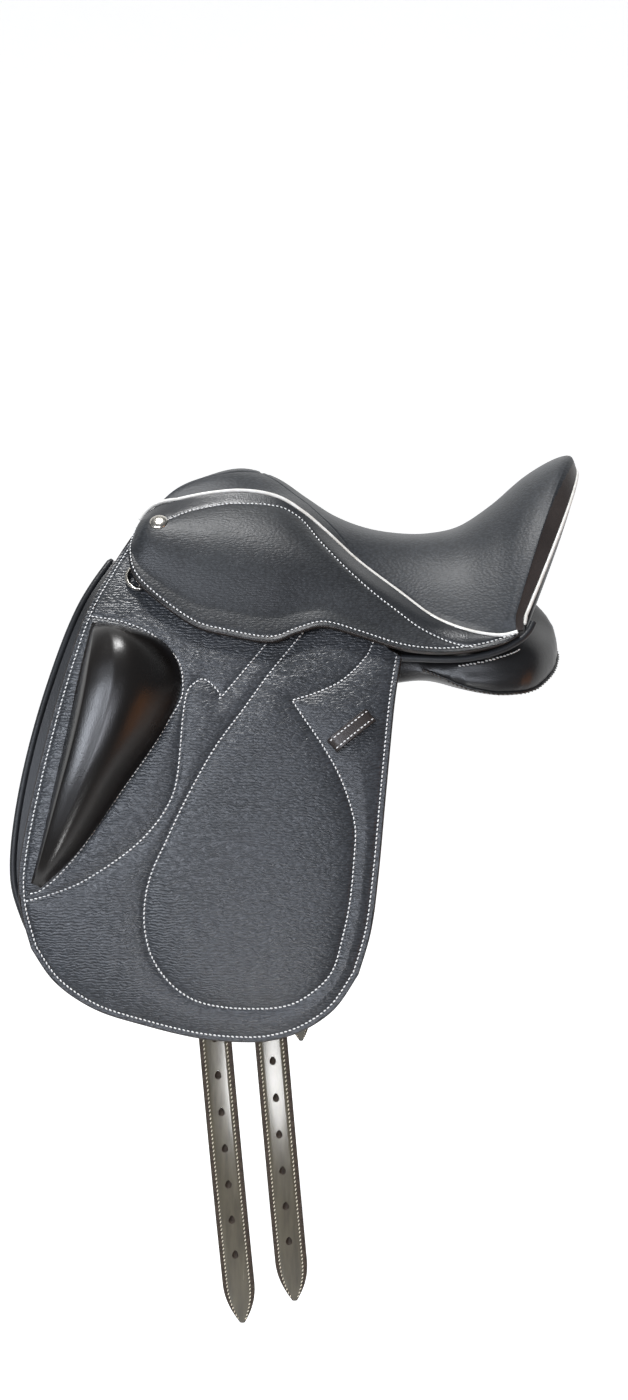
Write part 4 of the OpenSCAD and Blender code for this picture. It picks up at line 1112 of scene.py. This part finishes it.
u, v = np.meshgrid(np.linspace(0, 1, 230), np.linspace(0, 1, 90), indexing="ij")
start = SEAM_ROOM / skirt_drop(u)
v = start + (1 - start) * v
run_u = np.concatenate([np.linspace(*RIM_RUN[:2], 60), np.linspace(*RIM_RUN[1:], 200)[1:]])
edge_v = 1 - np.minimum(SEAM_INSET / skirt_drop(run_u), 0.6)
inner_uv = through(INNER_SEAM, np.linspace(0, 1, 200))
skirt_seams = [(run_u, edge_v), (inner_uv[:, 0], inner_uv[:, 1])]
lines = [skirt(a, b, 0 * a) for a, b in skirt_seams]
middle = skirt(u, v, 0 * u)
gap = np.min([beside(middle, line) for line in lines], 0)
margin = beside(middle, skirt(run_u, np.ones(len(run_u)), 0 * run_u)) < SKIRT_MARGIN
puff = np.where(margin, SKIRT_MARGIN_HEIGHT, SKIRT_PAD * (1 - np.exp(-gap / SKIRT_PAD_REACH)))
puff -= SKIRT_GROOVE_DEEP * np.exp(-(gap / SKIRT_GROOVE_WIDE) ** 2)
top = skirt(u, v, SKIRT_THICK / 2 + puff)
under = skirt(u, v, np.full(u.shape, -SKIRT_THICK / 2))
border = (v < np.interp(u, inner_uv[:, 0], inner_uv[:, 1])) | (u > inner_uv[-1, 0])
for side, k in SIDES.items():
    made = slab("skirt_leather_" + side, top.swapaxes(0, 1), under.swapaxes(0, 1),
                [skirt_hide, edge_ink, border_hide], k, 1.2, np.where(border[1:, 1:].T, 2, 0))
    bend_with(made)
    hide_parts("skirt_" + side, "skirt_top_" + side)
    seams = []
    for (a, b), line in zip(skirt_seams, lines):
        run_length = np.concatenate([[0], np.cumsum(np.linalg.norm(np.diff(line, axis=0), axis=1))])
        places = np.linspace(0, run_length[-1], len(even_steps(line, STITCH_PITCH)[0]))
        su, sv = np.interp(places, run_length, a), np.interp(places, run_length, b)
        spots = skirt(su, sv, np.full(len(su), SKIRT_THICK / 2 - STITCH_SUNK))
        seams.append((spots, unit(np.gradient(spots, axis=0)), skirt_out(su, sv)))
    points, faces = stitches(seams, *SKIRT_STITCH)
    sewn = piece("skirt_stitching_" + side, points, faces, [thread], k)
    bend_with(sewn)
    path = through(SEAT_SEAM, np.linspace(0, 1, 220)) - PIPING_IN
    path = path + np.clip((PIPING_RISE_FROM - path[:, :1]) / PIPING_RISE_OVER, 0, 1) * PIPING_RISE
    made = cord("skirt_piping_cord_" + side, path, PIPING_R, [piping], k, "saddle", sides=14)
    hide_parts("skirt_piping_" + side)


# Saddle nails: steel nails with domed, nickel-plated heads, polished as the dees are.
# They are driven through the skirts' front corners into the tree's head, and hold seat and skirts there.
for side in SIDES:
    dress(nickel, "saddle_nail_" + side)


# Studio: a pale sweep, floor and backdrop in one, far below and behind the saddle, with painted shade that
# darkens it towards the camera's side.
# Soft light falls from above and from a tall lamp ahead on the near side. Weaker lamps stand behind the camera,
# behind the saddle, low beside the straps, and to the rear, where the light is warm.
SWEEP = [(-45, -1), (4, -1), (4.8, -0.9), (5.5, -0.5), (5.9, 0.2), (6, 1), (6, 14)]
SWEEP_HALF = 45
SWEEP_GLOW = 0.8
sweep_mesh = bpy.data.meshes.new("studio_sweep")
sweep_mesh.from_pydata([(x, y, z) for y, z in SWEEP for x in (-SWEEP_HALF, SWEEP_HALF)], [],
                       [(2 * i, 2 * i + 1, 2 * i + 3, 2 * i + 2) for i in range(len(SWEEP) - 1)])
sweep = bpy.data.objects.new("studio_sweep", sweep_mesh)
bpy.context.scene.collection.objects.link(sweep)

# Paper: matt, nearly white, with faint clouds
paper, t, s = finish("pale_paper", {"Roughness": 0.9, "Specular IOR Level": 0.1,
                                    "Emission Color": (1, 1, 1, 1)})
at = add(t, "TexCoord")
cloud = add(t, "TexNoise", {"Scale": 0.6, "Detail": 2.0}, {"Vector": at.outputs["Object"]})
tone = add(t, "ValToRGB", {"stops": [(0.3, "#ececea"), (0.7, "#f3f3f1")]}, {"Fac": cloud.outputs[0]})
rays = add(t, "LightPath")
seen = add(t, "Math", {"use_clamp": True}, {0: rays.outputs["Is Camera Ray"], 1: rays.outputs["Is Glossy Ray"]})
seen = add(t, "Math", {"use_clamp": True}, {0: seen.outputs[0], 1: rays.outputs["Is Transmission Ray"]})
place = add(t, "SeparateXYZ", {}, {0: at.outputs["Object"]})
# Painted shade: the paper's colour and its glow fall off towards the camera's side
near = add(t, "MapRange", {"interpolation_type": "SMOOTHSTEP", "From Min": -1.3, "From Max": -0.2,
                           "To Min": 0.18, "To Max": 1.0}, {"Value": place.outputs["Y"]})
glow = add(t, "Math", {"operation": "MULTIPLY", 1: SWEEP_GLOW}, {0: seen.outputs[0]})
glow = add(t, "Math", {"operation": "MULTIPLY"}, {0: glow.outputs[0], 1: near.outputs[0]})
tone = add(t, "VectorMath", {"operation": "SCALE"}, {0: tone.outputs[0], "Scale": near.outputs[0]})
t.links.new(tone.outputs[0], s.inputs["Base Color"])
t.links.new(glow.outputs[0], s.inputs["Emission Strength"])
sweep_mesh.materials.append(paper)

world = bpy.data.worlds.new("studio")
bpy.context.scene.world = world
world.use_nodes = True
t = world.node_tree
t.nodes.clear()
all_round = add(t, "Background", {"Color": linear("#dfe4ea"), "Strength": 0.26})
add(t, "OutputWorld", {}, {"Surface": all_round.outputs[0]})


def lamp(name, place, aim, size, power, colour):
    """An oval area lamp at a place, aimed at another; metres and watts."""
    light = bpy.data.lights.new(name, "AREA")
    light.shape, light.energy = "ELLIPSE", power
    light.size, light.size_y = size
    light.color = linear(colour)[:3]
    made = bpy.data.objects.new(name, light)
    made.location = place
    made.rotation_euler = (Vector(aim) - Vector(place)).to_track_quat("-Z", "Y").to_euler()
    bpy.context.scene.collection.objects.link(made)


lamp("key", (-0.4, -0.5, 2.3), (0, -0.12, 0), (0.5, 0.5), 46, "#ffffff")
lamp("tall", (-1.3, -2.0, 0.7), (-0.2, -0.2, -0.1), (0.34, 1.1), 26, "#eef4ff")
lamp("fill", (-0.35, -2.5, 0.35), (-0.1, -0.2, -0.2), (0.9, 0.7), 18, "#f0f4ff")
lamp("back", (0.4, 2.0, 1.8), (0, 0, 0), (1.6, 1.6), 5, "#ffffff")
lamp("warm", (1.5, -0.9, -0.35), (0.1, -0.1, 0), (0.9, 0.9), 5, "#b8763f")
lamp("low", (-0.055, -1.03, -0.62), (-0.04, -0.26, -0.4), (0.12, 0.26), 2.0, "#ffffff")

# The camera's focal length and the picture's height, in pixels, and the tilt down from level
FOCAL = 1052
PICTURE_HEIGHT = 1400
TILT = 10
SENSOR = 36
eye = bpy.data.cameras.new("eye")
eye.sensor_width = SENSOR
eye.lens = SENSOR * FOCAL / PICTURE_HEIGHT
camera = bpy.data.objects.new("eye", eye)
camera.location = (0, -1.163, 0.117)
camera.rotation_euler = (math.radians(90 - TILT), 0, 0)
bpy.context.scene.collection.objects.link(camera)
bpy.context.scene.camera = camera
bpy.context.scene.view_settings.view_transform = "Standard"
